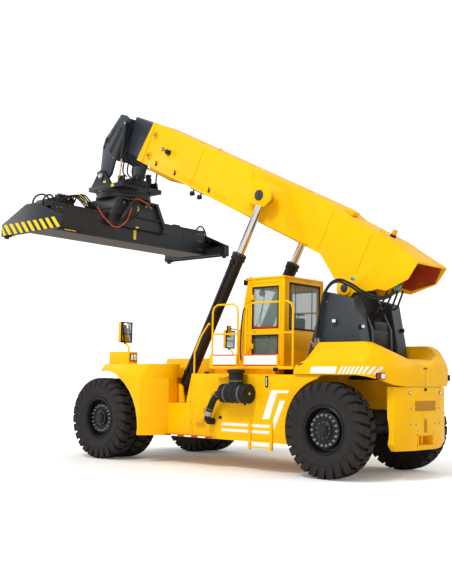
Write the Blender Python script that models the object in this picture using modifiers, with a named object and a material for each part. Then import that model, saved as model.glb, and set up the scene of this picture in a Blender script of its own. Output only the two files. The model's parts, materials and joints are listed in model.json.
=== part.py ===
"""Reach stacker for containers: chassis, cab, telescopic boom and 20/40 ft top spreader.

Metres, +Z up. The machine faces -Y, +X is its left side, and the origin lies on the
ground under the middle of its overall box. Run with: blender --background --python part.py
"""
import math

import bmesh
import bpy
from mathutils import Matrix, Vector

# ---------------------------------------------------------------- driving dimensions
SEAT = 0.0003                 # gap between pieces that rest on each other
RUN = 0.0005                  # gap between a turning piece and its seat

FRONT_AXLE_Y = -2.43          # drive axle, in the frame of the whole machine
WHEELBASE = 6.20
TYRE_RADIUS = 0.95
TYRE_WIDTH = 0.50
TWIN_SPACING = 0.59           # centre to centre of the twin front tyres
FRONT_TYRE_X = 1.875          # centre plane of the outer front tyre
REAR_TYRE_X = 1.43            # centre plane of a rear tyre
RIM_SEAT_RADIUS = 0.44
RIM_SEAT_HALF = 0.20
RIM_FLANGE_RADIUS = 0.475
RIM_BORE_RADIUS = 0.40
HUB_RADIUS = 0.19
WHEEL_STEPS = 36
KINGPIN_X = 1.15
KINGPIN_RADIUS = 0.05
ARCH_RADIUS = 1.10            # swept sphere of a steered tyre about its kingpin

GIRDER_INNER = 0.33
GIRDER_OUTER = 0.45
FRAME_BOTTOM = 0.62
FRAME_TOP = 1.95
FRAME_HIGH_TOP = 2.40
BODY_X = 1.55                 # outer face of the side boxes
BODY_TOP = 2.03
FENDER_X = 2.12
FENDER_INNER = 1.0
FENDER_TOP = 2.24
FENDER_CREASE = 1.91
FENDER_ARCH = 1.30
FENDER_WEB = 1.27             # inner face of the fender's rear corner
FENDER_REAR = 1.80            # measured from the drive axle

HOOD_X = 1.60
HOOD_TOP = 2.69
COUNTERWEIGHT_TOP = 1.82
REAR_FACE = 7.52              # rear face, measured from the drive axle
TOW_FLOOR = 0.68              # floor of the tow pocket

DECK_TOP = 2.20
DECK_THICK = 0.06
DECK_X = 1.52
DECK_FRONT = 3.02             # measured from the drive axle
DECK_REAR = 5.34
RAIL_RADIUS = 0.022
RAIL_X = 1.47

CAB_X = 0.72
CAB_WALL = 0.05
CAB_REAR = 4.48               # measured from the drive axle
CAB_TOP = 4.15
ROOF_THICK = 0.06
DOOR_FRONT = 3.52
DOOR_REAR = 4.38
DOOR_BOTTOM = 2.27
DOOR_TOP = 4.07
DOOR_GAP = 0.006
DOOR_HINGE_X = 0.745
GLASS = 0.010

PIVOT_Y = 5.90                # boom pivot, measured from the drive axle
PIVOT_Z = 3.86
BOOM_ANGLE = math.radians(26.7)
BOOM_HALF = 0.45
BOOM_BOTTOM = 0.41            # above the pivot, square to the boom
BOOM_TOP = 1.50
BOOM_WALL = 0.03
BOOM_FRONT = 7.45             # along the boom from the pivot
SLIDE_GAP = 0.03
EXTENSION_REAR = -0.55
EXTENSION_FRONT = 8.25
PIVOT_PIN_RADIUS = 0.085

LIFT_X = 1.0
LIFT_FOOT_Y = 1.75            # measured from the drive axle
LIFT_FOOT_Z = 1.66
LIFT_PIN_U = 2.56             # along the boom
LIFT_PIN_V = 1.07             # square to the boom
LIFT_BARREL_RADIUS = 0.145
LIFT_ROD_RADIUS = 0.09
LIFT_BARREL_LENGTH = 3.48
LIFT_ROD_LENGTH = 3.22
LIFT_EYE_RADIUS = 0.15
BRACKET_X = 0.82

HEAD_X = 0.60
HEAD_PLATE = 0.07
TILT_U = 8.49                 # tilt pin in the boom's own frame
TILT_V = -0.385
TILT_PIN_RADIUS = 0.075
DAMPER_X = 0.66
DAMPER_RADIUS = 0.045
DAMPER_ROD_RADIUS = 0.024
DAMPER_U = 8.24
DAMPER_V = 1.19
DAMPER_FOOT_Y = 0.72          # behind the tilt pin
DAMPER_FOOT_Z = -0.14         # below the tilt pin

SLEW_Y = -1.70                # measured from the drive axle
RING_RADIUS = 0.72
RING_BOTTOM = 6.70
RING_TOP = 6.95
PLATE_TOP = 7.06
BEAM_HALF_LENGTH = 2.76
BEAM_HALF_WIDTH = 0.50
BEAM_BOTTOM = 5.53
BEAM_TOP = 6.22
BEAM_WALL = 0.03
ARM_HALF_WIDTH = 0.195
ARM_OFFSET = 0.24             # each arm runs beside the middle of the beam
ARM_BOTTOM = 5.60
ARM_TOP = 6.12
ARM_INNER_END = -2.60
LOCK_X = 2.9265               # ISO 20 ft corner spacing 5853 mm
LOCK_Y = 1.1295               # ISO corner spacing 2259 mm
LOCK_TIP = 5.40
END_PLATE_X = 3.03

REAR_AXLE_Y = FRONT_AXLE_Y + WHEELBASE

YELLOW = ("yellow_enamel", (1.0, 0.58, 0.0), 0.35, 0.0)
GREY = ("dark_grey_enamel", (0.055, 0.065, 0.075), 0.45, 0.0)
BLACK = ("black_enamel", (0.012, 0.013, 0.014), 0.4, 0.0)
RUBBER = ("tyre_rubber", (0.035, 0.035, 0.036), 0.85, 0.0)
CHROME = ("chromed_steel", (0.75, 0.76, 0.78), 0.12, 1.0)
STEEL = ("bare_steel", (0.35, 0.34, 0.32), 0.4, 1.0)
WINDOW = ("tinted_glass", (0.25, 0.36, 0.38), 0.05, 0.0)
CLOTH = ("seat_cloth", (0.03, 0.03, 0.035), 0.95, 0.0)


# ---------------------------------------------------------------- modelling helpers
def clear_scene():
    """Remove every object that the file starts with."""
    for obj in list(bpy.data.objects):
        bpy.data.objects.remove(obj, do_unlink=True)


def new_collection(name):
    """Add a collection to the scene and return it."""
    coll = bpy.data.collections.new(name)
    bpy.context.scene.collection.children.link(coll)
    return coll


def move_to(obj, coll):
    """Keep the object in one collection only."""
    for old in list(obj.users_collection):
        old.objects.unlink(obj)
    coll.objects.link(obj)
    return obj


def paint(obj, finish):
    """Give the object its material, made once for each finish."""
    name, colour, roughness, metallic = finish
    mat = bpy.data.materials.get(name)
    if mat is None:
        mat = bpy.data.materials.new(name)
        mat.use_nodes = True
        shader = mat.node_tree.nodes["Principled BSDF"]
        shader.inputs["Base Color"].default_value = (*colour, 1.0)
        shader.inputs["Roughness"].default_value = roughness
        shader.inputs["Metallic"].default_value = metallic
    obj.data.materials.clear()
    obj.data.materials.append(mat)
    return obj


def smooth(obj):
    """Shade a round piece smooth and keep its real edges."""
    obj.data.shade_smooth()
    obj.data.set_sharp_from_angle(angle=math.radians(35))


def box(name, low, high, finish=YELLOW, bevel=0.0):
    """A block between two corners, with its scale applied before any bevel."""
    low, high = Vector(low), Vector(high)
    bpy.ops.mesh.primitive_cube_add(size=1.0, location=(low + high) / 2)
    obj = bpy.context.active_object
    obj.name = name
    obj.scale = high - low
    bpy.ops.object.transform_apply(location=False, rotation=False, scale=True)
    if bevel:
        mod = obj.modifiers.new("Bevel", "BEVEL")
        mod.width = bevel
        mod.segments = 1
    return paint(move_to(obj, PARTS), finish)


def rod(name, start, end, radius, finish=STEEL, steps=20):
    """A round bar between two points."""
    start, end = Vector(start), Vector(end)
    bpy.ops.mesh.primitive_cylinder_add(vertices=steps, radius=radius, depth=(end - start).length)
    obj = bpy.context.active_object
    obj.name = name
    obj.location = (start + end) / 2
    obj.rotation_euler = (end - start).to_track_quat("Z", "Y").to_euler()
    bpy.ops.object.transform_apply(location=False, rotation=True, scale=False)
    smooth(obj)
    return paint(move_to(obj, PARTS), finish)


def bore(name, start, end, pin_radius, steps=20):
    """A cutter for a pin's hole, clear of the pin at whatever angle it stands."""
    return rod(name, start, end, (pin_radius + RUN) / math.cos(math.pi / steps), STEEL, steps)


def ball(name, centre, radius, segments=40, rings=20):
    """A sphere, used as a cutter."""
    bpy.ops.mesh.primitive_uv_sphere_add(segments=segments, ring_count=rings, radius=radius,
                                         location=centre)
    obj = bpy.context.active_object
    obj.name = name
    return paint(move_to(obj, PARTS), STEEL)


def make_mesh(obj):
    """Turn a curve object into a closed mesh object in the same place."""
    bpy.context.view_layer.update()
    graph = bpy.context.evaluated_depsgraph_get()
    mesh = bpy.data.meshes.new_from_object(obj.evaluated_get(graph))
    work = bmesh.new()
    work.from_mesh(mesh)
    bmesh.ops.remove_doubles(work, verts=work.verts, dist=0.00005)
    bmesh.ops.recalc_face_normals(work, faces=work.faces)
    work.to_mesh(mesh)
    work.free()
    name, place = obj.name, obj.matrix_world.copy()
    curve = obj.data
    bpy.data.objects.remove(obj, do_unlink=True)
    bpy.data.curves.remove(curve)
    solid = bpy.data.objects.new(name, mesh)
    solid.matrix_world = place
    PARTS.objects.link(solid)
    return solid


def plate(name, outline, x_one, x_two, finish=YELLOW):
    """A flat outline of (y, z) points, made solid between two x planes."""
    curve = bpy.data.curves.new(name, "CURVE")
    curve.dimensions = "2D"
    curve.fill_mode = "BOTH"
    curve.extrude = abs(x_two - x_one) / 2
    spline = curve.splines.new("POLY")
    spline.points.add(len(outline) - 1)
    for point, (y, z) in zip(spline.points, outline):
        point.co = (y, z, 0.0, 1.0)
    spline.use_cyclic_u = True
    obj = bpy.data.objects.new(name, curve)
    obj.location = ((x_one + x_two) / 2, 0.0, 0.0)
    obj.rotation_euler = (math.pi / 2, 0.0, math.pi / 2)
    PARTS.objects.link(obj)
    return paint(make_mesh(obj), finish)


def panel(name, outline, y_one, y_two, finish=YELLOW):
    """A flat outline of (x, z) points, made solid between two y planes."""
    obj = plate(name, outline, -(y_one + y_two) / 2 - abs(y_two - y_one) / 2,
                -(y_one + y_two) / 2 + abs(y_two - y_one) / 2, finish)
    obj.matrix_world = Matrix.Rotation(-math.pi / 2, 4, "Z") @ obj.matrix_world
    return obj


def tube(name, points, radius, finish=YELLOW, sides=2, closed=False):
    """A bent tube along a list of points, as a mesh with welded caps."""
    curve = bpy.data.curves.new(name, "CURVE")
    curve.dimensions = "3D"
    curve.bevel_depth = radius
    curve.bevel_resolution = sides
    curve.use_fill_caps = True
    spline = curve.splines.new("POLY")
    spline.points.add(len(points) - 1)
    for point, place in zip(spline.points, points):
        point.co = (*place, 1.0)
    spline.use_cyclic_u = closed
    obj = bpy.data.objects.new(name, curve)
    PARTS.objects.link(obj)
    solid = paint(make_mesh(obj), finish)
    smooth(solid)
    return solid


def turned(name, profile, centre, side, finish, ring=False):
    """Turn a (radius, outward) profile about X. It runs down its outer side."""
    mesh = bpy.data.meshes.new(name)
    verts = [(radius, 0.0, out) for radius, out in profile]
    edges = [(i, i + 1) for i in range(len(verts) - 1)]
    if ring:
        edges.append((len(verts) - 1, 0))
    mesh.from_pydata(verts, edges, [])
    obj = bpy.data.objects.new(name, mesh)
    obj.location = centre
    obj.rotation_euler = (0.0, side * math.pi / 2, 0.0)
    mod = obj.modifiers.new("Screw", "SCREW")
    mod.axis = "Z"
    mod.angle = 2 * math.pi
    mod.steps = WHEEL_STEPS
    mod.render_steps = WHEEL_STEPS
    mod.use_merge_vertices = True
    mod.merge_threshold = 0.00005
    mod.use_smooth_shade = True
    PARTS.objects.link(obj)
    return paint(obj, finish)


def loft(name, rings, finish=YELLOW):
    """A closed body through rings of points that all have the same count."""
    work = bmesh.new()
    rows = [[work.verts.new(p) for p in ring] for ring in rings]
    count = len(rows[0])
    for one, two in zip(rows, rows[1:]):
        for i in range(count):
            j = (i + 1) % count
            work.faces.new((one[i], one[j], two[j], two[i]))
    work.faces.new(rows[0])
    work.faces.new(rows[-1])
    bmesh.ops.recalc_face_normals(work, faces=work.faces)
    mesh = bpy.data.meshes.new(name)
    work.to_mesh(mesh)
    work.free()
    obj = bpy.data.objects.new(name, mesh)
    PARTS.objects.link(obj)
    return paint(obj, finish)


def combine(obj, other, operation):
    """Boolean one object with another, which becomes a hidden cutter."""
    mod = obj.modifiers.new(other.name, "BOOLEAN")
    mod.operation = operation
    mod.object = other
    mod.solver = "EXACT"
    other.name = obj.name + "_tool_" + other.name
    other.hide_render = True
    other.display_type = "WIRE"
    move_to(other, CUTTERS)
    return obj


def weld(obj, *others):
    """Join pieces that the real maker welds together."""
    for other in others:
        combine(obj, other, "UNION")
    return obj


def cut(obj, *others):
    """Take the given shapes out of a piece."""
    for other in others:
        combine(obj, other, "DIFFERENCE")
    return obj


def axis_at(name, place, angle=0.0, parent=None):
    """An empty on a joint's axis, for the pieces that move about it."""
    empty = bpy.data.objects.new(name, None)
    empty.location = place
    empty.rotation_euler = (angle, 0.0, 0.0)
    empty.empty_display_size = 0.3
    empty.parent = parent
    PARTS.objects.link(empty)
    return empty


def hang(empty, *objs):
    """Parent pieces that are drawn in the empty's own frame, with their tools."""
    for obj in objs:
        obj.parent = empty
        for mod in obj.modifiers:
            if mod.type == "BOOLEAN":
                hang(empty, mod.object)


def hang_world(empty, *objs):
    """Parent pieces that are drawn in world places to an unturned empty."""
    for obj in objs:
        obj.parent = empty
        obj.matrix_parent_inverse = Matrix.Translation(-Vector(empty.location))
        for mod in obj.modifiers:
            if mod.type == "BOOLEAN":
                hang_world(empty, mod.object)


def fy(distance):
    """World y of a place measured rearward from the drive axle."""
    return FRONT_AXLE_Y + distance


def shift(outline):
    """An outline of (distance behind the drive axle, z) in world y."""
    return [(fy(y), z) for y, z in outline]


def along(outline):
    """An outline of (u along the boom, v square to it) in the boom's frame."""
    return [(-u, v) for u, v in outline]


def boom_place(u, v, x=0.0):
    """World place of a point given in the boom's frame."""
    cos, sin = math.cos(BOOM_ANGLE), math.sin(BOOM_ANGLE)
    return Vector((x, fy(PIVOT_Y) - u * cos + v * sin, PIVOT_Z + u * sin + v * cos))


def arc(centre, radius, start, end, count):
    """Points on an arc, angles in degrees."""
    step = (end - start) / (count - 1)
    return [(centre[0] + radius * math.cos(math.radians(start + step * i)),
             centre[1] + radius * math.sin(math.radians(start + step * i))) for i in range(count)]


def mirrored(points):
    """A half outline in x, closed by its mirror image."""
    return list(points) + [(-p[0], *p[1:]) for p in reversed(points) if abs(p[0]) > 1e-9]


# ---------------------------------------------------------------- wheels and axles
def tyre_profile():
    """Section of a tyre: tread, shoulders and beads, as (radius, outward)."""
    half, radius = TYRE_WIDTH / 2, TYRE_RADIUS
    bead = RIM_FLANGE_RADIUS + 0.006
    right = [(radius, half - 0.07), (radius, -half + 0.07), (radius - 0.05, -half + 0.01),
             (radius - 0.25, -half), (bead + 0.04, -half + 0.028), (bead, -RIM_SEAT_HALF),
             (RIM_SEAT_RADIUS, -RIM_SEAT_HALF)]
    left = [(RIM_SEAT_RADIUS, RIM_SEAT_HALF), (bead, RIM_SEAT_HALF), (bead + 0.04, half - 0.028),
            (radius - 0.25, half), (radius - 0.05, half - 0.01)]
    return right + left


def rim_profile(inner_end, disc, dish):
    """Section of a rim with its disc and hub, from the hub cap round to the hub's back."""
    seat = RIM_SEAT_RADIUS - SEAT
    edge = RIM_SEAT_HALF + 0.003
    lip = edge + 0.018
    return [(0.0, disc + 0.08), (HUB_RADIUS - 0.03, disc + 0.08), (HUB_RADIUS, disc + 0.05),
            (HUB_RADIUS, disc), (0.34, disc), (0.36, disc - dish), (0.41, disc - dish),
            (0.435, lip), (RIM_FLANGE_RADIUS, lip), (RIM_FLANGE_RADIUS, edge), (seat, edge),
            (seat, inner_end + 0.018), (RIM_FLANGE_RADIUS, inner_end + 0.018),
            (RIM_FLANGE_RADIUS, inner_end), (0.435, inner_end), (RIM_BORE_RADIUS, inner_end + 0.05),
            (RIM_BORE_RADIUS, disc - dish - 0.06), (0.33, disc - dish - 0.06), (0.31, disc - 0.05),
            (HUB_RADIUS, disc - 0.05), (HUB_RADIUS - 0.03, 0.02), (0.0, 0.02)]


def build_front_wheels():
    """Twin driven wheels on each side, one rim for each pair."""
    for side, word in ((1, "left"), (-1, "right")):
        centre = Vector((side * FRONT_TYRE_X, FRONT_AXLE_Y, TYRE_RADIUS))
        inner = centre - Vector((side * TWIN_SPACING, 0, 0))
        axis = axis_at(f"front_{word}_wheel_axis", centre)
        rim = turned(f"front_{word}_rim", rim_profile(-TWIN_SPACING - RIM_SEAT_HALF - 0.021, 0.11, 0.06),
                     centre, side, BLACK)
        outer_tyre = turned(f"front_{word}_outer_tyre", tyre_profile(), centre, side, RUBBER, ring=True)
        inner_tyre = turned(f"front_{word}_inner_tyre", tyre_profile(), inner, side, RUBBER, ring=True)
        hang_world(axis, rim, outer_tyre, inner_tyre)


def build_rear_wheels():
    """Single steered wheels, each on a knuckle that turns about its kingpin."""
    for side, word in ((1, "left"), (-1, "right")):
        centre = Vector((side * REAR_TYRE_X, REAR_AXLE_Y, TYRE_RADIUS))
        steer = axis_at(f"rear_{word}_steer_axis", (side * KINGPIN_X, REAR_AXLE_Y, TYRE_RADIUS))
        axis = axis_at(f"rear_{word}_wheel_axis", centre)
        rim = turned(f"rear_{word}_rim", rim_profile(-RIM_SEAT_HALF - 0.021, 0.18, 0.10),
                     centre, side, BLACK)
        tyre = turned(f"rear_{word}_tyre", tyre_profile(), centre, side, RUBBER, ring=True)
        hang_world(axis, rim, tyre)
        hang_world(steer, build_knuckle(word, side))


def build_knuckle(word, side):
    """C-shaped steering knuckle with its kingpin and spindle."""
    x, y, z = side * KINGPIN_X, REAR_AXLE_Y, TYRE_RADIUS
    web = sorted((x + side * 0.145, x + side * 0.20))
    body = box(f"rear_{word}_knuckle", (web[0], y - 0.12, z - 0.18), (web[1], y + 0.12, z + 0.18), GREY)
    arms = sorted((x - side * 0.09, x + side * 0.16))
    for low, high, tag in ((0.135, 0.18, "top"), (-0.18, -0.135, "bottom")):
        weld(body, box(tag, (arms[0], y - 0.11, z + low), (arms[1], y + 0.11, z + high), GREY))
    weld(body, rod("pin", (x, y, z - 0.16), (x, y, z + 0.16), KINGPIN_RADIUS, GREY, 32))
    spindle_end = side * (REAR_TYRE_X + 0.02 - RUN)
    weld(body, rod("spindle", (x + side * 0.17, y, z), (spindle_end, y, z), 0.12, GREY))
    return body


def build_axles():
    """Drive axle with its differential, and steer axle with its cylinder."""
    reach = FRONT_TYRE_X + 0.02 - RUN
    y, z = FRONT_AXLE_Y, TYRE_RADIUS
    drive = rod("drive_axle", (-reach, y, z), (reach, y, z), 0.20, GREY, 24)
    weld(drive, ball("differential", (0, y + 0.023, z + 0.004), 0.34, 22, 13))
    for side in (1, -1):
        edges = sorted((side * (GIRDER_INNER - 0.03), side * (GIRDER_OUTER + 0.03)))
        weld(drive, box("seat", (edges[0], y - 0.20, z), (edges[1], y + 0.20, 1.30 - SEAT), GREY))
    y = REAR_AXLE_Y
    steer = box("steer_axle", (-1.04, y - 0.13, z - 0.12), (1.04, y + 0.13, z + 0.12), GREY)
    weld(steer, box("cradle", (-0.28, y - 0.24, z - 0.10), (0.28, y + 0.24, 1.36 - SEAT), GREY))
    weld(steer, rod("ram", (-0.62, y + 0.22, z), (0.62, y + 0.22, z), 0.09, GREY, 16))
    for side in (1, -1):
        x = side * KINGPIN_X
        weld(steer, rod("boss", (x, y, z - 0.125), (x, y, z + 0.125), 0.125, GREY))
    for side in (1, -1):
        x = side * KINGPIN_X
        cut(steer, bore("bore", (x, y, z - 0.2), (x, y, z + 0.2), KINGPIN_RADIUS, 32))


# ---------------------------------------------------------------- chassis
def build_frame():
    """Two deep side girders joined by box cross members."""
    outline = shift([(-0.62, 1.30), (-0.62, FRAME_TOP), (0.45, FRAME_TOP), (0.62, FRAME_HIGH_TOP),
                     (2.78, FRAME_HIGH_TOP), (2.88, FRAME_TOP), (7.05, FRAME_TOP), (7.05, 1.36),
                     (5.15, 1.36), (4.75, FRAME_BOTTOM), (1.10, FRAME_BOTTOM), (0.45, 1.30)])
    frame = plate("main_frame", outline, GIRDER_INNER, GIRDER_OUTER)
    weld(frame, plate("right_girder", outline, -GIRDER_OUTER, -GIRDER_INNER))
    reach = GIRDER_INNER + 0.02
    for start, end, low, high in ((-0.58, -0.30, 1.34, 1.90), (1.20, 1.45, 0.66, 2.30),
                                  (2.90, 3.15, 0.66, 1.90), (4.60, 4.85, 0.80, 1.90),
                                  (5.80, 6.60, 1.36, 1.48), (6.85, 7.04, 1.40, 1.90)):
        weld(frame, box("cross", (-reach, fy(start), low), (reach, fy(end), high)))
    deck = FENDER_INNER - SEAT
    weld(frame, box("front_deck", (-deck, fy(-0.10), 1.93), (deck, fy(1.38), 2.18)))


def build_side_boxes():
    """Tank boxes beside the frame, cut for the rear wheel and the lift cylinder's foot."""
    front = FENDER_REAR + SEAT
    outline = shift([(front, FRAME_BOTTOM), (5.30, FRAME_BOTTOM), (5.30, 1.30), (6.05, BODY_TOP),
                     (2.52, BODY_TOP), (2.36, 1.36), (1.50, 1.36), (1.50, 1.16), (front, 1.16)])
    for side, word in ((1, "left"), (-1, "right")):
        x_in, x_out = side * (GIRDER_OUTER + SEAT), side * BODY_X
        tank = plate(f"{word}_tank_box", outline, x_in, x_out)
        cut(tank, ball("arch", (side * KINGPIN_X, REAR_AXLE_Y, TYRE_RADIUS), ARCH_RADIUS))
        corner = sorted((side * (FENDER_WEB - SEAT), side * (BODY_X + 0.1)))
        cut(tank, box("fender_corner", (corner[0], fy(1.40), 1.1), (corner[1], fy(front), 1.5)))
        build_lift_foot(tank, side)
        board = sorted((side * (BODY_X - 0.1), side * (BODY_X + 0.16)))
        weld(tank, box("board", (board[0], fy(1.84), 0.63), (board[1], fy(3.32), 0.67)))
        if side > 0:
            for start, z in ((3.36, 1.95), (3.14, 1.61), (2.90, 1.28), (2.70, 0.97)):
                weld(tank, box("tread", (BODY_X - 0.05, fy(start), z),
                               (BODY_X + 0.11, fy(start + 0.30), z + 0.03)))


def build_lift_foot(tank, side):
    """Clevis for the lift cylinder's foot, on the low front of the tank box."""
    foot = (fy(LIFT_FOOT_Y), LIFT_FOOT_Z)
    outline = [(foot[0] + 0.19, 1.34)] + arc(foot, 0.14, -10, 190, 9) + [(foot[0] - 0.19, 1.34)]
    for inner in (-0.20, 0.135):
        x = side * LIFT_X + inner
        weld(tank, plate("lug", outline, x, x + 0.065))
    half = 0.19
    weld(tank, rod("foot_pin", (side * LIFT_X - half, *foot), (side * LIFT_X + half, *foot), 0.06, STEEL))


def build_fenders():
    """Flared fenders over the twin wheels, open to the wheel arch."""
    low = [(FENDER_INNER, -0.13), (FENDER_X, -0.13), (FENDER_X, 1.44), (BODY_X, FENDER_REAR),
           (FENDER_WEB, FENDER_REAR), (FENDER_WEB, 1.40), (FENDER_INNER, 1.40)]
    high = [(FENDER_INNER, 0.06), (FENDER_X - 0.15, 0.06), (FENDER_X - 0.15, 1.60), (BODY_X, 1.88),
            (FENDER_WEB, 1.88), (FENDER_WEB, 1.40), (FENDER_INNER, 1.40)]
    for side, word in ((1, "left"), (-1, "right")):
        rings = [[(side * x, fy(y), z) for x, y in ring]
                 for ring, z in ((low, FRAME_BOTTOM), (low, FENDER_CREASE), (high, FENDER_TOP))]
        fender = loft(f"front_{word}_fender", rings)
        centre = (fy(0.08), TYRE_RADIUS - 0.17)
        cut(fender, plate("arch", arc(centre, FENDER_ARCH, 0, 350, 36), side * 0.5, side * 2.4))


def build_counterweight():
    """Cast counterweight behind the frame, with a tow pocket."""
    plan = [(0.62, REAR_FACE), (1.02, REAR_FACE - 0.12), (1.06, REAR_FACE - 0.24),
            (0.46, 7.0553)]
    low = [(0.44, REAR_FACE - 0.02), (0.90, REAR_FACE - 0.15), (0.92, REAR_FACE - 0.24), (0.46, 7.0553)]
    rings = [[(x, fy(y), z) for x, y in mirrored(ring)]
             for ring, z in ((low, 0.58), (plan, 0.72), (plan, COUNTERWEIGHT_TOP))]
    block = loft("counterweight", rings)
    for side in (1, -1):
        cut(block, ball("arch", (side * KINGPIN_X, REAR_AXLE_Y, TYRE_RADIUS), ARCH_RADIUS + 0.02, 48, 32))
    pocket = (-0.27, fy(REAR_FACE - 0.22), TOW_FLOOR), (0.27, fy(REAR_FACE + 0.1), TOW_FLOOR + 0.18)
    cut(block, box("tow_pocket", *pocket))
    pin_y = fy(REAR_FACE - 0.10)
    weld(block, rod("tow_pin", (0, pin_y, TOW_FLOOR - 0.02), (0, pin_y, TOW_FLOOR + 0.20), 0.035, STEEL))


def hood_ring(y, low, width, side_z, top, crown_in, valley_x, valley):
    """One cross section of the hood, closed along its underside."""
    half = [(width, low), (width, side_z), (width - 0.07, side_z + 0.10),
            (max(width - 0.27, crown_in + 0.03), top), (crown_in, top), (valley_x, valley), (0.0, valley)]
    return [(x, fy(y), z) for x, z in mirrored(half)]


def build_hood():
    """Engine hood with a hump over each rear wheel, joined across the rear."""
    low = BODY_TOP + SEAT
    rings = [hood_ring(5.42, low, HOOD_X, 2.12, 2.24, 1.08, 0.97, 2.22),
             hood_ring(5.86, low, HOOD_X, 2.30, HOOD_TOP, 1.08, 0.97, 2.32),
             hood_ring(6.95, low, HOOD_X, 2.30, HOOD_TOP, 1.08, 0.90, 2.32),
             hood_ring(7.12, low - 0.02, HOOD_X - 0.03, 2.27, 2.61, 1.02, 0.80, 2.34),
             hood_ring(7.30, 1.95, 1.38, 2.22, 2.50, 0.86, 0.62, 2.38),
             hood_ring(7.44, COUNTERWEIGHT_TOP + SEAT + 0.03, 1.08, 2.14, 2.38, 0.62, 0.40, 2.34),
             hood_ring(REAR_FACE, COUNTERWEIGHT_TOP + SEAT, 0.66, 2.06, 2.24, 0.30, 0.20, 2.24)]
    hood = loft("engine_hood", rings)
    wide = 0.98
    cut(hood, box("tower_bay", (-wide, fy(5.0), 1.5), (wide, fy(6.74), 3.0)))
    for side in (1, -1):
        well = sorted((side * 0.95, side * (HOOD_X - 0.03)))
        cut(hood, box("wheel_well", (well[0], fy(5.50), 1.5), (well[1], fy(7.02), 2.26)))
    weld(hood, box("rear_seat", (-0.6, fy(7.30), COUNTERWEIGHT_TOP + SEAT), (0.6, fy(7.50), 2.1)))


def build_engine():
    """The engine and its gearbox, as one plain block between the girders."""
    box("engine_block", (-GIRDER_INNER + SEAT, fy(5.05), 1.36), (GIRDER_INNER - SEAT, fy(5.7), 2.12), GREY)


def build_towers():
    """Grey pedestals beside the frame that carry the boom's pivot."""
    outer = shift([(5.14, BODY_TOP + SEAT), (5.31, 2.62), (5.68, 3.77), (6.40, 3.58), (6.56, 2.72),
                   (6.62, BODY_TOP + SEAT)])
    pivot = (fy(PIVOT_Y), PIVOT_Z)
    inner = shift([(6.52, 3.0), (6.56, FRAME_TOP + SEAT), (5.20, FRAME_TOP + SEAT), (5.50, 3.0)])
    inner = inner + arc(pivot, 0.21, 180, 0, 10)
    for side, word in ((1, "left"), (-1, "right")):
        tower = plate(f"{word}_boom_tower", outer, side * 0.53, side * 0.90, GREY)
        weld(tower, plate("cheek", inner, side * GIRDER_INNER, side * 0.405, GREY))
        base = shift([(5.30, BODY_TOP + SEAT), (5.52, 2.90), (6.40, 2.90), (6.52, BODY_TOP + SEAT)])
        weld(tower, plate("base", base, side * 0.36, side * 0.60, GREY))
        weld(tower, rod("pivot_pin", (side * 0.35, *pivot), (side * 0.515, *pivot), PIVOT_PIN_RADIUS,
                        STEEL))


# ---------------------------------------------------------------- deck, rails and side fittings
def build_platform():
    """Walkway round the cab on bearers, with a kick plate along each side."""
    low = DECK_TOP - DECK_THICK
    deck = box("cab_platform", (-DECK_X, fy(DECK_FRONT), low), (DECK_X, fy(DECK_REAR), DECK_TOP))
    cut(deck, box("tower_notch", (-0.96, fy(4.90), 1.9), (0.96, fy(DECK_REAR + 0.1), 2.5)))
    for side in (1, -1):
        for inner, outer, foot in ((GIRDER_INNER, GIRDER_OUTER, FRAME_TOP + SEAT),
                                   (1.10, 1.42, BODY_TOP + SEAT)):
            x = sorted((side * inner, side * outer))
            weld(deck, box("bearer", (x[0], fy(3.10), foot), (x[1], fy(4.80), low + 0.01)))
    for start, end in ((DECK_FRONT, 3.82), (4.02, 4.94)):
        weld(deck, box("kick", (DECK_X - 0.02, fy(start), DECK_TOP - 0.01),
                       (DECK_X, fy(end), DECK_TOP + 0.25)))
    weld(deck, box("kick", (-DECK_X, fy(DECK_FRONT), DECK_TOP - 0.01),
                   (-DECK_X + 0.02, fy(4.94), DECK_TOP + 0.25)))


def hoop(start, end, top, x, foot):
    """Points of a rail that rises, bends, runs level and comes down again."""
    rise, bend = top - 0.16, 0.14
    return [(x, fy(start), foot), (x, fy(start), rise), (x, fy(start + 0.04), rise + 0.10),
            (x, fy(start + bend), top), (x, fy(end - bend), top), (x, fy(end - 0.04), rise + 0.10),
            (x, fy(end), rise), (x, fy(end), foot)]


def build_rails():
    """Tube handrails: front and rear hoops on the left, one long hoop on the right."""
    foot = DECK_TOP + SEAT
    for name, side, start, end in (("left_front_rail", 1, 3.06, 3.80), ("left_rear_rail", 1, 4.04, 5.30),
                                   ("right_rail", -1, 3.06, 5.30)):
        x = side * RAIL_X
        rail = tube(name, hoop(start, end, 3.55, x, foot), RAIL_RADIUS)
        weld(rail, tube("mid", [(x, fy(start), 2.90), (x, fy(end), 2.90)], RAIL_RADIUS * 0.9))
    x = BODY_X - 0.04
    tube("left_ladder_rail", [(x, fy(2.56), BODY_TOP + SEAT), (x, fy(2.56), 2.50), (x, fy(2.76), 2.88),
                              (x, fy(2.98), 3.14), (x, fy(3.012), 3.12)],
         RAIL_RADIUS)


def build_lower_ladder():
    """Short step frame that hangs below the left side."""
    x = BODY_X + SEAT
    ladder = box("left_step_frame", (x, fy(4.24), 0.46), (x + 0.05, fy(4.30), 1.04))
    weld(ladder, box("upright", (x, fy(4.82), 0.46), (x + 0.05, fy(4.88), 1.04)))
    for z in (0.50, 0.62):
        weld(ladder, box("rung", (x + 0.005, fy(4.26), z), (x + 0.045, fy(4.86), z + 0.03)))


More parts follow.
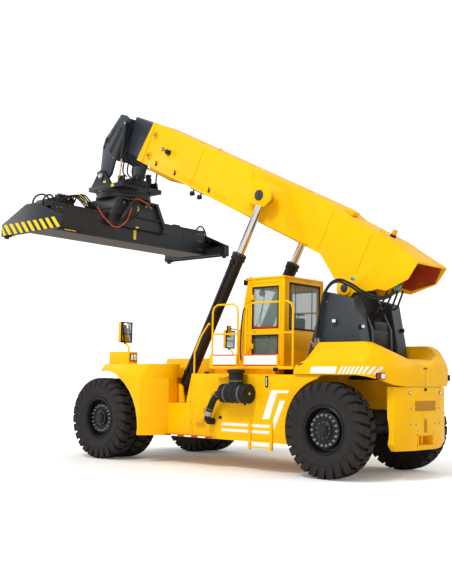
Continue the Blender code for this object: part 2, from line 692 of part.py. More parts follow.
def build_air_cleaner():
    """Air cleaner on the left side: hooded canister, drum and intake pipe."""
    x = BODY_X + SEAT + 0.21
    drum = rod("air_cleaner", (x, fy(3.66), 1.62), (x, fy(4.38), 1.62), 0.20, BLACK, 24)
    weld(drum, rod("canister", (x, fy(4.02), 1.70), (x, fy(4.02), 2.06), 0.155, BLACK, 22))
    weld(drum, rod("rain_hood", (x, fy(4.02), 2.05), (x, fy(4.02), 2.12), 0.19, BLACK, 24))
    weld(drum, box("bracket", (BODY_X + SEAT, fy(3.86), 1.50), (x, fy(4.20), 1.74), BLACK))
    pipe = [(x, fy(3.70), 1.62), (x, fy(3.52), 1.60), (x, fy(3.38), 1.46), (x, fy(3.28), 1.26),
            (x - 0.02, fy(3.20), 1.06), (x - 0.08, fy(3.20), 1.0), (BODY_X + SEAT, fy(3.20), 1.0)]
    weld(drum, tube("intake_pipe", pipe, 0.075, BLACK, 3))


def build_mirrors():
    """Lamp housing and mirror on top of each front fender."""
    for side, word in ((1, "left"), (-1, "right")):
        x = sorted((side * 1.66, side * 1.94))
        head = box(f"{word}_mirror", (x[0], fy(0.16), FENDER_TOP + SEAT), (x[1], fy(0.84), 2.52))
        x_mid = side * 1.86
        stalk = [(x_mid, fy(0.72), 2.45), (x_mid, fy(0.76), 2.62), (x_mid, fy(0.66), 2.70),
                 (x_mid, fy(0.62), 2.80)]
        weld(head, tube("stalk", stalk, 0.02))
        weld(head, box("glass", (x_mid - 0.17, fy(0.57), 2.74), (x_mid + 0.17, fy(0.66), 3.22), BLACK))


# ---------------------------------------------------------------- cab
def cab_outline(inset):
    """Side view of the cab, its front leaning forward, moved in by a wall."""
    front, rear = 3.18 + inset, CAB_REAR - inset
    above = 1.0 if inset else 0.0
    floor, top = DECK_TOP + SEAT + inset, CAB_TOP + above
    return shift([(rear, floor), (rear, top), (3.44 + inset + 0.21 * above, top), (front, 2.92),
                  (front, floor)])


def build_cab():
    """Hollow cab with its windows and door opening cut, roof, panes, seat and controls."""
    shell = plate("cab_shell", cab_outline(0.0), -CAB_X, CAB_X)
    inner = CAB_X - CAB_WALL
    cut(shell, plate("cavity", cab_outline(CAB_WALL), -inner, inner))
    cut(shell, box("doorway", (inner - 0.1, fy(DOOR_FRONT), DOOR_BOTTOM),
                   (CAB_X + 0.1, fy(DOOR_REAR), DOOR_TOP)))
    rear = (-0.62, fy(CAB_REAR - 0.15), 3.04), (0.52, fy(CAB_REAR + 0.1), 4.06)
    cut(shell, box("rear_opening", *rear))
    right = (-CAB_X - 0.1, fy(3.58), 3.04), (-inner + 0.1, fy(4.34), 3.98)
    cut(shell, box("right_opening", *right))
    cut(shell, plate("front_opening", windscreen_outline(0.15, 0.0), -0.62, 0.62))
    box("cab_roof", (-CAB_X - 0.02, fy(3.36), CAB_TOP + SEAT),
        (CAB_X + 0.02, fy(CAB_REAR + 0.02), CAB_TOP + ROOF_THICK),
        bevel=0.015)
    build_panes(rear, right)
    build_door()
    build_seat_and_controls()


def windscreen_outline(depth, trim):
    """Side view of a slab along the leaning front of the cab."""
    lean = (3.44 - 3.18) / (CAB_TOP - 2.92)
    low, high = 3.0 + trim, 4.02 - trim
    middle = 3.18 + CAB_WALL / 2
    return shift([(middle + lean * (low - 2.92) - depth, low),
                  (middle + lean * (high - 2.92) - depth, high),
                  (middle + lean * (high - 2.92) + depth, high), (middle + lean * (low - 2.92) + depth,
                                                                  low)])


def build_panes(rear, right):
    """Panes set in the openings of the cab."""
    plate("windscreen", windscreen_outline(GLASS / 2, SEAT), -0.62 + SEAT, 0.62 - SEAT, WINDOW)
    y = fy(CAB_REAR) - CAB_WALL / 2
    box("rear_window", (rear[0][0] + SEAT, y - GLASS / 2, rear[0][2] + SEAT),
        (rear[1][0] - SEAT, y + GLASS / 2, rear[1][2] - SEAT), WINDOW)
    x = -CAB_X + CAB_WALL / 2
    box("right_window", (x - GLASS / 2, right[0][1] + SEAT, right[0][2] + SEAT),
        (x + GLASS / 2, right[1][1] - SEAT, right[1][2] - SEAT), WINDOW)


def build_door():
    """Door on the left side with two windows, on two hinges at its front edge."""
    axis = axis_at("cab_door_axis", (DOOR_HINGE_X, fy(DOOR_FRONT), 3.0))
    front, back = fy(DOOR_FRONT) + DOOR_GAP, fy(DOOR_REAR) - DOOR_GAP
    low, high = DOOR_BOTTOM + DOOR_GAP, DOOR_TOP - DOOR_GAP
    inner = CAB_X - CAB_WALL
    door = box("cab_door", (inner, front, low), (CAB_X + 0.002, back, high))
    for start, end in ((2.46, 2.90), (3.06, 3.98)):
        cut(door, box("window", (inner - 0.1, front + 0.055, start), (CAB_X + 0.1, back - 0.055, end)))
    shell = bpy.data.objects["cab_shell"]
    x, y = DOOR_HINGE_X, fy(DOOR_FRONT)
    for z in (2.60, 3.70):
        weld(door, box("leaf", (CAB_X - 0.01, front + 0.004, z), (x, front + 0.10, z + 0.12)))
        weld(door, rod("knuckle", (x, y, z), (x, y, z + 0.12), 0.018))
        weld(shell, box("leaf", (CAB_X - 0.01, y - 0.10, z), (x + 0.003, y - 0.0225, z + 0.12)))
        weld(shell, rod("knuckle", (x, y, z - 0.06), (x, y, z - RUN), 0.018))
        weld(shell, box("ear", (CAB_X - 0.01, y - 0.10, z - 0.06), (x + 0.003, y, z - RUN)))
    glass = box("door_glass", (inner - SEAT - GLASS, front + 0.03, 2.43),
                (inner - SEAT, back - 0.03, 4.01), WINDOW)
    hang_world(axis, door, glass)


def build_seat_and_controls():
    """Seat on its base, and the steering column with its wheel."""
    floor = DECK_TOP + 2 * SEAT + CAB_WALL
    box("seat_base", (-0.21, fy(3.84), floor), (0.21, fy(4.24), 2.60), BLACK)
    box("seat_cushion", (-0.25, fy(3.76), 2.60 + SEAT), (0.25, fy(4.26), 2.74), CLOTH, bevel=0.03)
    back = box("seat_back", (-0.24, fy(4.27), 2.66), (0.24, fy(4.39), 3.34), CLOTH, bevel=0.03)
    weld(back, box("mount", (-0.08, fy(4.24) + SEAT, 2.45), (0.08, fy(4.36), 2.595), BLACK))
    weld(back, box("stay", (-0.07, fy(4.275), 2.50), (0.07, fy(4.355), 2.70), BLACK))
    column = box("steering_column", (-0.12, fy(3.27), floor), (0.12, fy(3.42), 2.78), BLACK)
    weld(column, rod("shaft", (0, fy(3.36), 2.70), (0, fy(3.537), 3.054), 0.035, BLACK, 12))
    bpy.ops.mesh.primitive_torus_add(location=(0, fy(3.53), 3.04), rotation=(math.radians(-27), 0, 0),
                                     major_radius=0.19, minor_radius=0.016, major_segments=24, minor_segments=8)
    wheel = move_to(bpy.context.active_object, PARTS)
    wheel.name = "wheel"
    weld(column, wheel)
    weld(column, rod("spoke", (-0.19, fy(3.53), 3.04), (0.19, fy(3.53), 3.04), 0.013, BLACK, 8))


# ---------------------------------------------------------------- boom
def build_boom():
    """Outer boom with its open tail, pivot lugs and lift brackets."""
    pivot = axis_at("boom_axis", (0, fy(PIVOT_Y), PIVOT_Z), -BOOM_ANGLE)
    side_view = along([(BOOM_FRONT, BOOM_TOP), (1.15, BOOM_TOP), (0.75, 1.40), (-0.43, 1.345),
                       (-0.62, 1.32),
                       (-0.62, BOOM_BOTTOM), (BOOM_FRONT + 0.16, BOOM_BOTTOM), (BOOM_FRONT + 0.10, 0.9)])
    boom = plate("outer_boom", side_view, -BOOM_HALF, BOOM_HALF)
    inner = BOOM_HALF - BOOM_WALL
    low, high = BOOM_BOTTOM + BOOM_WALL, 1.345 - BOOM_WALL
    cut(boom, box("tail_bore", (-inner, -0.80, low), (inner, 1.2, high - 0.025)))
    bore_top = BOOM_TOP - BOOM_WALL
    cut(boom, box("bore", (-inner, -BOOM_FRONT - 0.5, low), (inner, -1.15, bore_top)))
    cut(boom, box("mid_bore", (-inner, -1.2, low), (inner, -0.75, 1.36)))
    for side in (1, -1):
        weld(boom, build_tail_plate(side))
        weld(boom, build_bracket(side))
    top = [(-0.58, 0.44, 1.325), (-0.95, 0.485, 1.262), (-1.36, 0.585, 1.192), (-1.41, 0.595, 1.183)]
    rings = [[(x, -u, z), (x, -u, z - 0.04), (-x, -u, z - 0.04), (-x, -u, z)] for u, x, z in top]
    weld(boom, loft("tail_top", rings))
    pad_top = BOOM_BOTTOM + BOOM_WALL + SLIDE_GAP - SEAT
    weld(boom, box("wear_pad", (-0.30, -BOOM_FRONT + 0.1, low - 0.01), (0.30, -BOOM_FRONT + 0.4, pad_top)))
    weld(boom, box("slide_shoe", (-0.34, -7.15, BOOM_BOTTOM - 0.10), (0.34, -6.25, BOOM_BOTTOM + 0.01)))
    hang(pivot, boom)
    return pivot


def build_tail_plate(side):
    """Side plate of the tail, flared rearward, with the lug round the pivot."""
    lug = along([(1.02, BOOM_BOTTOM + 0.05)] + arc((0, 0), 0.22, 0, -180, 11)
                + [(-0.62, 0.22), (-0.72, 0.30), (-0.72, 1.30), (0.75, 1.38), (1.02, 1.42)])
    flare = [(-0.66, BOOM_HALF + 0.006, 1.305, 0.29), (-0.95, 0.50, 1.255, 0.36),
             (-1.36, 0.60, 1.185, 0.78), (-1.42, 0.61, 1.175, 1.12)]
    body = plate("tail_plate", lug, side * (BOOM_HALF - 0.025), side * (BOOM_HALF + 0.012))
    rings = [[(side * x, -u, high), (side * x, -u, low), (side * (x - 0.035), -u, low),
              (side * (x - 0.035), -u, high)]
             for u, x, high, low in flare]
    weld(body, loft("flare", rings))
    weld(body, rod("boss", (side * (BOOM_HALF - 0.04), 0, 0), (side * (BOOM_HALF + 0.05), 0, 0),
                   0.15, YELLOW, 24))
    cut(body, bore("bore", (side * 0.3, 0, 0), (side * 0.6, 0, 0), PIVOT_PIN_RADIUS))
    return body


def build_bracket(side):
    """Outrigger on the boom's side that takes the lift cylinder."""
    wide = along([(3.50, 0.46), (3.50, 0.86), (3.16, 1.38), (2.40, 1.38), (1.30, 0.46)])
    narrow = along([(3.30, 0.50), (3.30, 0.80), (3.00, 1.26), (2.44, 1.26), (1.60, 0.50)])
    rings = [[(side * x, y, z) for y, z in ring] for ring,
             x in ((wide, BOOM_HALF - 0.01), (narrow, BRACKET_X))]
    return loft("bracket", rings)


def build_extension(pivot):
    """Inner boom, a closed-nosed tube that slides in the outer boom."""
    axis = axis_at("extension_axis", (0, 0, 0), 0.0, pivot)
    half = BOOM_HALF - BOOM_WALL - SLIDE_GAP
    low = BOOM_BOTTOM + BOOM_WALL + SLIDE_GAP
    rear_top, top = 1.345 - BOOM_WALL - 0.025 - SLIDE_GAP, BOOM_TOP - BOOM_WALL - SLIDE_GAP
    outline = along([(EXTENSION_FRONT, low), (EXTENSION_FRONT, top), (1.45, top), (1.25, rear_top),
                     (EXTENSION_REAR, rear_top), (EXTENSION_REAR, low)])
    body = plate("extension_boom", outline, -half, half, GREY)
    wall = 0.025
    hollow = along([(EXTENSION_FRONT - 0.06, low + wall), (EXTENSION_FRONT - 0.06, top - wall),
                    (1.47, top - wall),
                    (1.27, rear_top - wall), (EXTENSION_REAR - 0.2,
                                              rear_top - wall), (EXTENSION_REAR - 0.2, low + wall)])
    cut(body, plate("hollow", hollow, -half + wall, half - wall, GREY))
    hang(axis, body, build_head())


def build_head():
    """Boom head: a box on the inner boom's nose and two long side plates."""
    start = EXTENSION_FRONT + SEAT
    nose = along([(start, 0.16), (start, 1.34), (8.55, 1.30), (8.86, 0.56), (8.70, 0.12)])
    head = plate("boom_head", nose, -HEAD_X + 0.02, HEAD_X - 0.02, GREY)
    outline = along([(8.26, 1.12), (8.22, 1.305), (8.44, 1.375), (8.62, 1.345), (8.93, 0.545), (8.90, 0.30),
                     (8.80, 0.03), (8.66, -0.34)] + arc((TILT_U, TILT_V), 0.17, -20, -160, 7)
                    + [(8.24, -0.22), (8.28, 0.16)])
    for side in (1, -1):
        weld(head, plate("side", outline, side * (HEAD_X - HEAD_PLATE), side * HEAD_X, GREY))
        weld(head, rod("tilt_pin", (side * (HEAD_X - 0.05), -TILT_U, TILT_V),
                       (side * (HEAD_X + 0.11), -TILT_U, TILT_V), TILT_PIN_RADIUS, STEEL))
        weld(head, rod("damper_pin", (side * (HEAD_X - 0.05), -DAMPER_U, DAMPER_V),
                       (side * (DAMPER_X - 0.03), -DAMPER_U, DAMPER_V), 0.03, STEEL, 12))
    return head


def lift_places(side):
    """World places of a lift cylinder's foot and rod eye at rest."""
    foot = Vector((side * LIFT_X, fy(LIFT_FOOT_Y), LIFT_FOOT_Z))
    return foot, boom_place(LIFT_PIN_U, LIFT_PIN_V, side * LIFT_X)


def build_lift_cylinders():
    """Two lift cylinders, each a bored barrel on its foot pin and a rod with its eye."""
    for side, word in ((1, "left"), (-1, "right")):
        foot, eye = lift_places(side)
        reach = (eye - foot).length
        lean = math.atan2(foot.y - eye.y, eye.z - foot.z)
        axis = axis_at(f"lift_{word}_axis", foot, lean)
        barrel = rod(f"lift_{word}_barrel", (0, 0, 0.16), (0, 0, LIFT_BARREL_LENGTH), LIFT_BARREL_RADIUS,
                     BLACK, 24)
        weld(barrel, rod("foot", (-0.125, 0, 0), (0.125, 0, 0), 0.125, BLACK, 30))
        weld(barrel, rod("neck", (0, 0, 0.03), (0, 0, 0.20), 0.112, BLACK, 22))
        weld(barrel, rod("gland", (0, 0, LIFT_BARREL_LENGTH - 0.14), (0, 0, LIFT_BARREL_LENGTH + 0.01),
                         0.16, BLACK, 24))
        cut(barrel, rod("bore", (0, 0, 0.30), (0, 0, LIFT_BARREL_LENGTH + 0.2), LIFT_ROD_RADIUS + 0.0015,
                        BLACK, 24))
        cut(barrel, bore("foot_bore", (-0.3, 0, 0), (0.3, 0, 0), 0.06))
        shaft = rod(f"lift_{word}_rod", (0, 0, reach - LIFT_ROD_LENGTH), (0, 0, reach - 0.05),
                    LIFT_ROD_RADIUS, CHROME, 24)
        inner = side * (BRACKET_X + SEAT - LIFT_X)
        weld(shaft, rod("eye", (inner, 0, reach), (side * 0.13, 0, reach), LIFT_EYE_RADIUS, GREY, 30))
        hang(axis, barrel, shaft)


def build_dampers(pivot):
    """Damper barrels on the boom head, and their rods down to the tilt frame."""
    tilt = boom_place(TILT_U, TILT_V)
    for side, word in ((1, "left"), (-1, "right")):
        top = boom_place(DAMPER_U, DAMPER_V, side * DAMPER_X)
        foot = Vector((side * DAMPER_X, tilt.y + DAMPER_FOOT_Y, tilt.z + DAMPER_FOOT_Z))
        reach = (top - foot).length
        lean = math.atan2(top.y - foot.y, foot.z - top.z)
        frame = axis_at(f"damper_{word}_axis", top, lean)
        barrel = rod(f"damper_{word}_barrel", (0, 0, 0.03), (0, 0, 0.94), DAMPER_RADIUS, BLACK, 16)
        inner = side * (DAMPER_X - 0.03 + SEAT - DAMPER_X)
        weld(barrel, rod("eye", (inner, 0, 0), (side * 0.04, 0, 0), 0.05, BLACK, 16))
        cut(barrel, rod("bore", (0, 0, 0.09), (0, 0, 1.2), DAMPER_ROD_RADIUS + 0.001, BLACK, 12))
        shaft = rod(f"damper_{word}_rod", (0, 0, reach - 0.94), (0, 0, reach - 0.02), DAMPER_ROD_RADIUS,
                    CHROME, 12)
        weld(shaft, rod("eye", (side * (-0.04 + SEAT), 0, reach), (side * 0.04, 0, reach), 0.05, BLACK, 18))
        hang(frame, barrel, shaft)


# ---------------------------------------------------------------- spreader
def build_tilt_frame():
    """Turntable frame that hangs on the tilt pins, with the slewing ring below."""
    pin = boom_place(TILT_U, TILT_V)
    axis = axis_at("tilt_axis", (0, pin.y, pin.z))
    centre = fy(SLEW_Y)
    body = box("tilt_frame", (-0.72, centre - 0.62, RING_TOP - 0.01), (0.72, centre + 0.75, PLATE_TOP),
               GREY)
    weld(body, rod("slew_ring", (0, centre, RING_BOTTOM), (0, centre, RING_TOP), RING_RADIUS, GREY, 32))
    lug_x = HEAD_X + 0.006
    for side in (1, -1):
        outline = ([(pin.y + 0.42, PLATE_TOP - 0.02)] + arc((pin.y, pin.z), 0.17, 20, 160, 8)
                   + [(pin.y - 0.42, PLATE_TOP - 0.02)])
        weld(body, plate("lug", outline, side * lug_x, side * (lug_x + 0.08), GREY))
        foot = (pin.y + DAMPER_FOOT_Y, pin.z + DAMPER_FOOT_Z)
        ear = [(foot[0] - 0.14, PLATE_TOP - 0.02), (foot[0] - 0.08, foot[1] + 0.06),
               (foot[0] + 0.12, foot[1] + 0.06), (foot[0] + 0.17, PLATE_TOP - 0.02)]
        weld(body, plate("ear", ear, side * (DAMPER_X - 0.04 - 0.05), side * (DAMPER_X - 0.04), GREY))
    for side in (1, -1):
        cut(body, bore("bore", (side * 0.5, pin.y, pin.z), (side * 0.9, pin.y, pin.z), TILT_PIN_RADIUS))
    hang_world(axis, body)


def build_carriage():
    """Rotating saddle that the spreader's beam slides in."""
    axis = axis_at("slew_axis", (0, fy(SLEW_Y), RING_BOTTOM))
    centre = fy(SLEW_Y)
    top = RING_BOTTOM - RUN
    body = box("spreader_carriage", (-0.62, centre - 0.60, BEAM_TOP + 0.20), (0.62, centre + 0.60, top),
               GREY)
    outline = [(0.62, top), (1.06, 5.98), (1.06, 5.90), (-1.06, 5.90), (-1.06, 5.98), (-0.62, top)]
    for low, high in ((0.506, 0.60), (-0.60, -0.506)):
        weld(body, panel("cheek", outline, centre + low, centre + high, GREY))
    weld(body, box("saddle", (-0.60, centre - 0.55, BEAM_TOP + SEAT),
                   (0.60, centre + 0.55, BEAM_TOP + 0.25), GREY))
    hang_world(axis, body)


def build_beam():
    """Main beam of the spreader with two side-by-side tunnels for its arms."""
    axis = axis_at("side_shift_axis", (0, fy(SLEW_Y), BEAM_TOP))
    centre = fy(SLEW_Y)
    beam = box("spreader_beam", (-BEAM_HALF_LENGTH, centre - BEAM_HALF_WIDTH, BEAM_BOTTOM),
               (BEAM_HALF_LENGTH, centre + BEAM_HALF_WIDTH, BEAM_TOP), GREY)
    for side in (1, -1):
        y = centre - side * ARM_OFFSET
        half = ARM_HALF_WIDTH + 0.006
        cut(beam, box("tunnel", (-3.5, y - half, ARM_BOTTOM - SEAT), (3.5, y + half, ARM_TOP + 0.006)))
    hang_world(axis, beam)


def build_arms():
    """Telescopic arms, each with its end beam, striped end plate and twistlocks."""
    centre = fy(SLEW_Y)
    for side, word in ((1, "left"), (-1, "right")):
        axis = axis_at(f"{word}_arm_axis", (side * LOCK_X, centre, ARM_TOP))
        y = centre - side * ARM_OFFSET
        x = sorted((side * ARM_INNER_END, side * 2.86))
        arm = box(f"{word}_spreader_arm", (x[0], y - ARM_HALF_WIDTH, ARM_BOTTOM),
                  (x[1], y + ARM_HALF_WIDTH, ARM_TOP), GREY)
        x = sorted((side * (BEAM_HALF_LENGTH + 0.02), side * (END_PLATE_X - 0.02)))
        weld(arm, box("end_beam", (x[0], centre - 1.14, 5.50), (x[1], centre + 1.14, 5.70), GREY))
        outline = [(centre + 1.22, 5.47), (centre + 1.22, 5.76), (centre + 0.22, 6.18),
                   (centre - 0.22, 6.18),
                   (centre - 1.22, 5.76), (centre - 1.22, 5.47)]
        weld(arm, plate("end_plate", outline, side * (END_PLATE_X - 0.04), side * END_PLATE_X, GREY))
        for lock_y in (centre - LOCK_Y, centre + LOCK_Y):
            lock_x = side * LOCK_X
            weld(arm, box("housing", (lock_x - 0.10, lock_y - 0.09, 5.48),
                          (lock_x + 0.10, lock_y + 0.09, 5.72), GREY))
            weld(arm, rod("shank", (lock_x, lock_y, 5.44), (lock_x, lock_y, 5.50), 0.03, STEEL, 12))
            weld(arm, box("lock", (lock_x - 0.05, lock_y - 0.028, LOCK_TIP),
                          (lock_x + 0.05, lock_y + 0.028, 5.45), STEEL))
        hang_world(axis, arm)


def build_all():
    """Build the whole machine."""
    build_axles()
    build_front_wheels()
    build_rear_wheels()
    build_frame()
    build_side_boxes()
    build_fenders()
    build_counterweight()
    build_hood()
    build_engine()
    build_towers()
    build_platform()
    build_rails()
    build_lower_ladder()
    build_air_cleaner()
    build_mirrors()
    build_cab()
    pivot = build_boom()
    build_extension(pivot)
    build_lift_cylinders()
    build_dampers(pivot)
    build_tilt_frame()
    build_carriage()
    build_beam()
    build_arms()


def close_seams():
    """Merge the slivers that a join leaves where two facets nearly meet."""
    for obj in PARTS.objects:
        if any(mod.type == "BOOLEAN" for mod in obj.modifiers):
            mod = obj.modifiers.new("Seams", "WELD")
            mod.merge_threshold = 0.00005


clear_scene()
PARTS = new_collection("reach_stacker")
CUTTERS = new_collection("cutters")
build_all()
close_seams()
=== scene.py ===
"""Looks for a container reach stacker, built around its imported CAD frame.

Every length is in metres in the frame's own axes: the machine faces -Y and +X is its left.
"""
import json
import logging
import math
from dataclasses import dataclass
from enum import Enum
from typing import Iterable, Sequence

import bmesh
import bpy
from mathutils import Matrix, Vector
from mathutils.bvhtree import BVHTree

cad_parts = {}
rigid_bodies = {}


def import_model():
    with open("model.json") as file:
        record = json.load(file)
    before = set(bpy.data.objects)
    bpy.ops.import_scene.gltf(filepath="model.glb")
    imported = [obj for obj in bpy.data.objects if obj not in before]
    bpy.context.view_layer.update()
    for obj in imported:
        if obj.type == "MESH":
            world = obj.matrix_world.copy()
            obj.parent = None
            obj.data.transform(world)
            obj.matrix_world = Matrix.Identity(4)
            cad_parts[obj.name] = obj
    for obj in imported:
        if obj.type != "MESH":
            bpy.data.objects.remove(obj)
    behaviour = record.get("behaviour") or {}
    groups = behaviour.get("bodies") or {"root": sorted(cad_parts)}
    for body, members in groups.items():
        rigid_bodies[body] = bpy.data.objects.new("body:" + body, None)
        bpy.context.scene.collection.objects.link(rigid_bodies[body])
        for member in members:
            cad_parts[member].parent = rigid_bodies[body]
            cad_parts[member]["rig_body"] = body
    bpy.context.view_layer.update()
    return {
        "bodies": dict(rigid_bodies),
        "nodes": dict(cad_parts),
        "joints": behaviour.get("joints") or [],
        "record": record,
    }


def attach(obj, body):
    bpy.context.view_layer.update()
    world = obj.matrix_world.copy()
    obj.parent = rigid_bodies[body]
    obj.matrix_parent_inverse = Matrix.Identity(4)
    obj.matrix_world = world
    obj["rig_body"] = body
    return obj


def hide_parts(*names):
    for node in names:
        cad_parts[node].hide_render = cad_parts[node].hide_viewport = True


LOG = logging.getLogger("reach_stacker")
Point = tuple[float, float, float]
Flat = tuple[float, float]

FRONT_AXLE_Y = -2.43
WHEELBASE = 6.20
TYRE_RADIUS = 0.95
REAR_FACE = 7.52              # the counterweight's rear face, rearward from the drive axle
TURNTABLE = -1.70             # the turntable's middle, rearward from the drive axle
BOOM_ANGLE = math.radians(26.7)
PIVOT = Vector((0.0, FRONT_AXLE_Y + 5.90, 3.86))
LIFT_FOOT = Vector((1.0, FRONT_AXLE_Y + 1.75, 1.66))
LIFT_PIN = (-2.56, 1.07)      # the lift eye's y and z in the boom's frame
PAINT_LIFT = 0.0012           # how far paint and tape stand off a panel
PAINT_SINK = 0.0006           # and how far their underside lies in it
TWIN_DEPTH = -0.5             # a rim that reaches further in than this carries twin tyres


class Axis(Enum):
    """The direction that a flat outline is extruded along."""

    X = 0
    Y = 1
    Z = 2


class Side(Enum):
    """A side of the machine, with the sign of its x."""

    LEFT = 1
    RIGHT = -1


# ---------------------------------------------------------------- finishes
def linear(code: str) -> tuple[float, float, float, float]:
    """Turn an sRGB hex colour into the linear values that a shader takes.

    Args:
        code: Six hex digits, such as "ffc800".

    Returns:
        Red, green, blue and alpha.
    """
    values = [int(code[i:i + 2], 16) / 255 for i in (0, 2, 4)]
    return tuple(v / 12.92 if v <= 0.04045 else ((v + 0.055) / 1.055) ** 2.4 for v in values) + (1.0,)


def add(tree: bpy.types.NodeTree, kind: str, links: dict | None = None, **settings) -> bpy.types.Node:
    """Add one shader node.

    Args:
        tree: The node tree that it goes in.
        kind: The node's type name.
        links: Input name or number to an output socket or a value.
        settings: Attributes of the node.

    Returns:
        The new node.
    """
    node = tree.nodes.new(kind)
    for key, value in settings.items():
        setattr(node, key, value)
    for key, value in (links or {}).items():
        socket = node.inputs[key]
        if isinstance(value, bpy.types.NodeSocket):
            tree.links.new(value, socket)
        else:
            socket.default_value = value
    return node


@dataclass(frozen=True)
class Finish:
    """A surface: its colours, gloss and the grain that breaks it up.

    The second tone is what the first one weathers to; on the painted shade and light finishes it is a
    second painted tone. It shows in blotches of patch_mm, blended in up to second_tone_share. Grain is the
    fine relief of the surface, as wide as grain_mm and as deep as relief_mm.
    """

    name: str
    colour: str
    second_tone: str
    roughness: float = 0.4
    metallic: float = 0.0
    second_tone_share: float = 0.25
    patch_mm: float = 400.0
    grain_mm: float = 6.0
    relief_mm: float = 0.15
    coat: float = 0.0
    ior: float = 1.5
    sheen: float = 0.0
    transmission: float = 0.0
    alpha: float = 1.0
    stretch: Point = (1.0, 1.0, 1.0)

    def material(self) -> bpy.types.Material:
        """Make the Blender material, once."""
        found = bpy.data.materials.get(self.name)
        if found:
            return found
        mat = bpy.data.materials.new(self.name)
        mat.use_nodes = True
        tree = mat.node_tree
        tree.nodes.clear()
        place = add(tree, "ShaderNodeTexCoord").outputs["Object"]
        spread = add(tree, "ShaderNodeMapping", {"Vector": place, "Scale": self.stretch}).outputs[0]
        patch = add(tree, "ShaderNodeTexNoise", {"Vector": spread, "Scale": 1000 / self.patch_mm,
                                                 "Detail": 6.0, "Roughness": 0.62})
        mask = add(tree, "ShaderNodeMapRange", {"Value": patch.outputs["Fac"], "From Min": 0.42,
                                                "From Max": 0.78, "To Max": self.second_tone_share})
        tint = add(tree, "ShaderNodeMix", {"Factor": mask.outputs[0], 6: linear(self.colour),
                                           7: linear(self.second_tone)}, data_type="RGBA")
        gloss = add(tree, "ShaderNodeMapRange", {"Value": patch.outputs["Fac"],
                                                 "To Min": max(self.roughness - 0.08, 0.03),
                                                 "To Max": min(self.roughness + 0.16, 1.0)})
        grain = add(tree, "ShaderNodeTexNoise", {"Vector": place, "Scale": 1000 / self.grain_mm,
                                                 "Detail": 2.0})
        bump = add(tree, "ShaderNodeBump", {"Height": grain.outputs["Fac"], "Strength": 0.6,
                                            "Distance": self.relief_mm / 1000})
        shader = add(tree, "ShaderNodeBsdfPrincipled",
                     {"Base Color": tint.outputs[2], "Roughness": gloss.outputs[0],
                      "Normal": bump.outputs[0], "Metallic": self.metallic, "IOR": self.ior,
                      "Coat Weight": self.coat, "Coat Roughness": 0.12, "Sheen Weight": self.sheen,
                      "Transmission Weight": self.transmission, "Alpha": self.alpha})
        add(tree, "ShaderNodeOutputMaterial", {"Surface": shader.outputs[0]})
        return mat


# Two-pack enamel, sprayed: an even, fairly glossy yellow with a fine orange peel.
YELLOW = Finish("yellow_enamel", "ffc400", "e6a000", 0.34, second_tone_share=0.3, coat=0.1, ior=1.28, patch_mm=900)
# The same enamel on the boom, which gets handling dust along its length.
BOOM_YELLOW = Finish("boom_enamel", "ffc400", "e6a200", 0.36, second_tone_share=0.3, coat=0.1, ior=1.28, patch_mm=1400)
# Satin enamel on the frames and the spreader: bluish dark grey, dulled by dust.
GREY = Finish("charcoal_enamel", "262a2f", "3b3b3a", 0.42, second_tone_share=0.4, patch_mm=500)
# The boom's head, inner boom and pedestals: the same enamel in a bluer slate.
SLATE = Finish("slate_grey_enamel", "3a4149", "50524f", 0.4, second_tone_share=0.4, patch_mm=500)
# Darker yellow painted as shade in recesses and behind mesh covers.
RECESS_SHADE_YELLOW = Finish("dulled_enamel", "c48a06", "a8760c", 0.6, second_tone_share=0.5, patch_mm=60, grain_mm=8,
                     relief_mm=0.8)
# Red-orange painted shade on the inner walls of the boom's open tail, where the yellow enamel lies in
# shadow.
TAIL_SHADE_RED = Finish("red_oxide_primer", "a83c12", "c0720e", 0.7, second_tone_share=0.8, patch_mm=300)
# Satin black enamel on rims, cylinders and the deck's brackets.
BLACK = Finish("black_enamel", "17181a", "3b3936", 0.38, second_tone_share=0.35, patch_mm=300)
# Vulcanised rubber of a tyre: matt, dusted grey on what rubs the ground.
RUBBER = Finish("tyre_rubber", "2f2c2b", "474240", 0.8, second_tone_share=0.4, patch_mm=120, grain_mm=3,
                relief_mm=0.4)
# Chromed piston rod: a bright, nearly clean mirror.
CHROME = Finish("hard_chrome", "d8dade", "b4a890", 0.12, metallic=1.0, second_tone_share=0.3, relief_mm=0.01)
# Zinc-plated fasteners and fittings: pale grey metal with a soft shine.
ZINC = Finish("zinc_plate", "b9bcbf", "8d8a84", 0.32, metallic=1.0, second_tone_share=0.4, patch_mm=60)
# Worn bare steel of the twistlocks and pins.
STEEL = Finish("worn_steel", "8b8883", "5e4a3c", 0.42, metallic=1.0, second_tone_share=0.6, patch_mm=70)
# Tinted safety glass.
GLASS = Finish("tinted_safety_glass", "9db8b4", "aac0ba", 0.05, second_tone_share=0.15, relief_mm=0.0,
               alpha=0.28, ior=1.5)
# Moulded black plastic and rubber seals.
PLASTIC = Finish("black_moulded_plastic", "1b1c1d", "34343a", 0.55, second_tone_share=0.3, patch_mm=90,
                 grain_mm=2, relief_mm=0.25)
# Woven seat cloth.
CLOTH = Finish("woven_seat_cloth", "26282c", "3a3d42", 0.95, second_tone_share=0.4, patch_mm=30, grain_mm=4,
               relief_mm=1.2, sheen=0.4)
# White vinyl stripes and blank plates.
WHITE = Finish("white_vinyl", "f4f4f0", "d8d5cb", 0.4, second_tone_share=0.25, relief_mm=0.05)
# Red reflective tape.
RED = Finish("red_reflective_tape", "c8201c", "9c2a22", 0.35, second_tone_share=0.25, grain_mm=3)
# Bright yellow enamel of the warning stripes and marks.
SIGNAL_YELLOW = Finish("signal_yellow_enamel", "f2d200", "c9a60a", 0.4, second_tone_share=0.4, patch_mm=200)
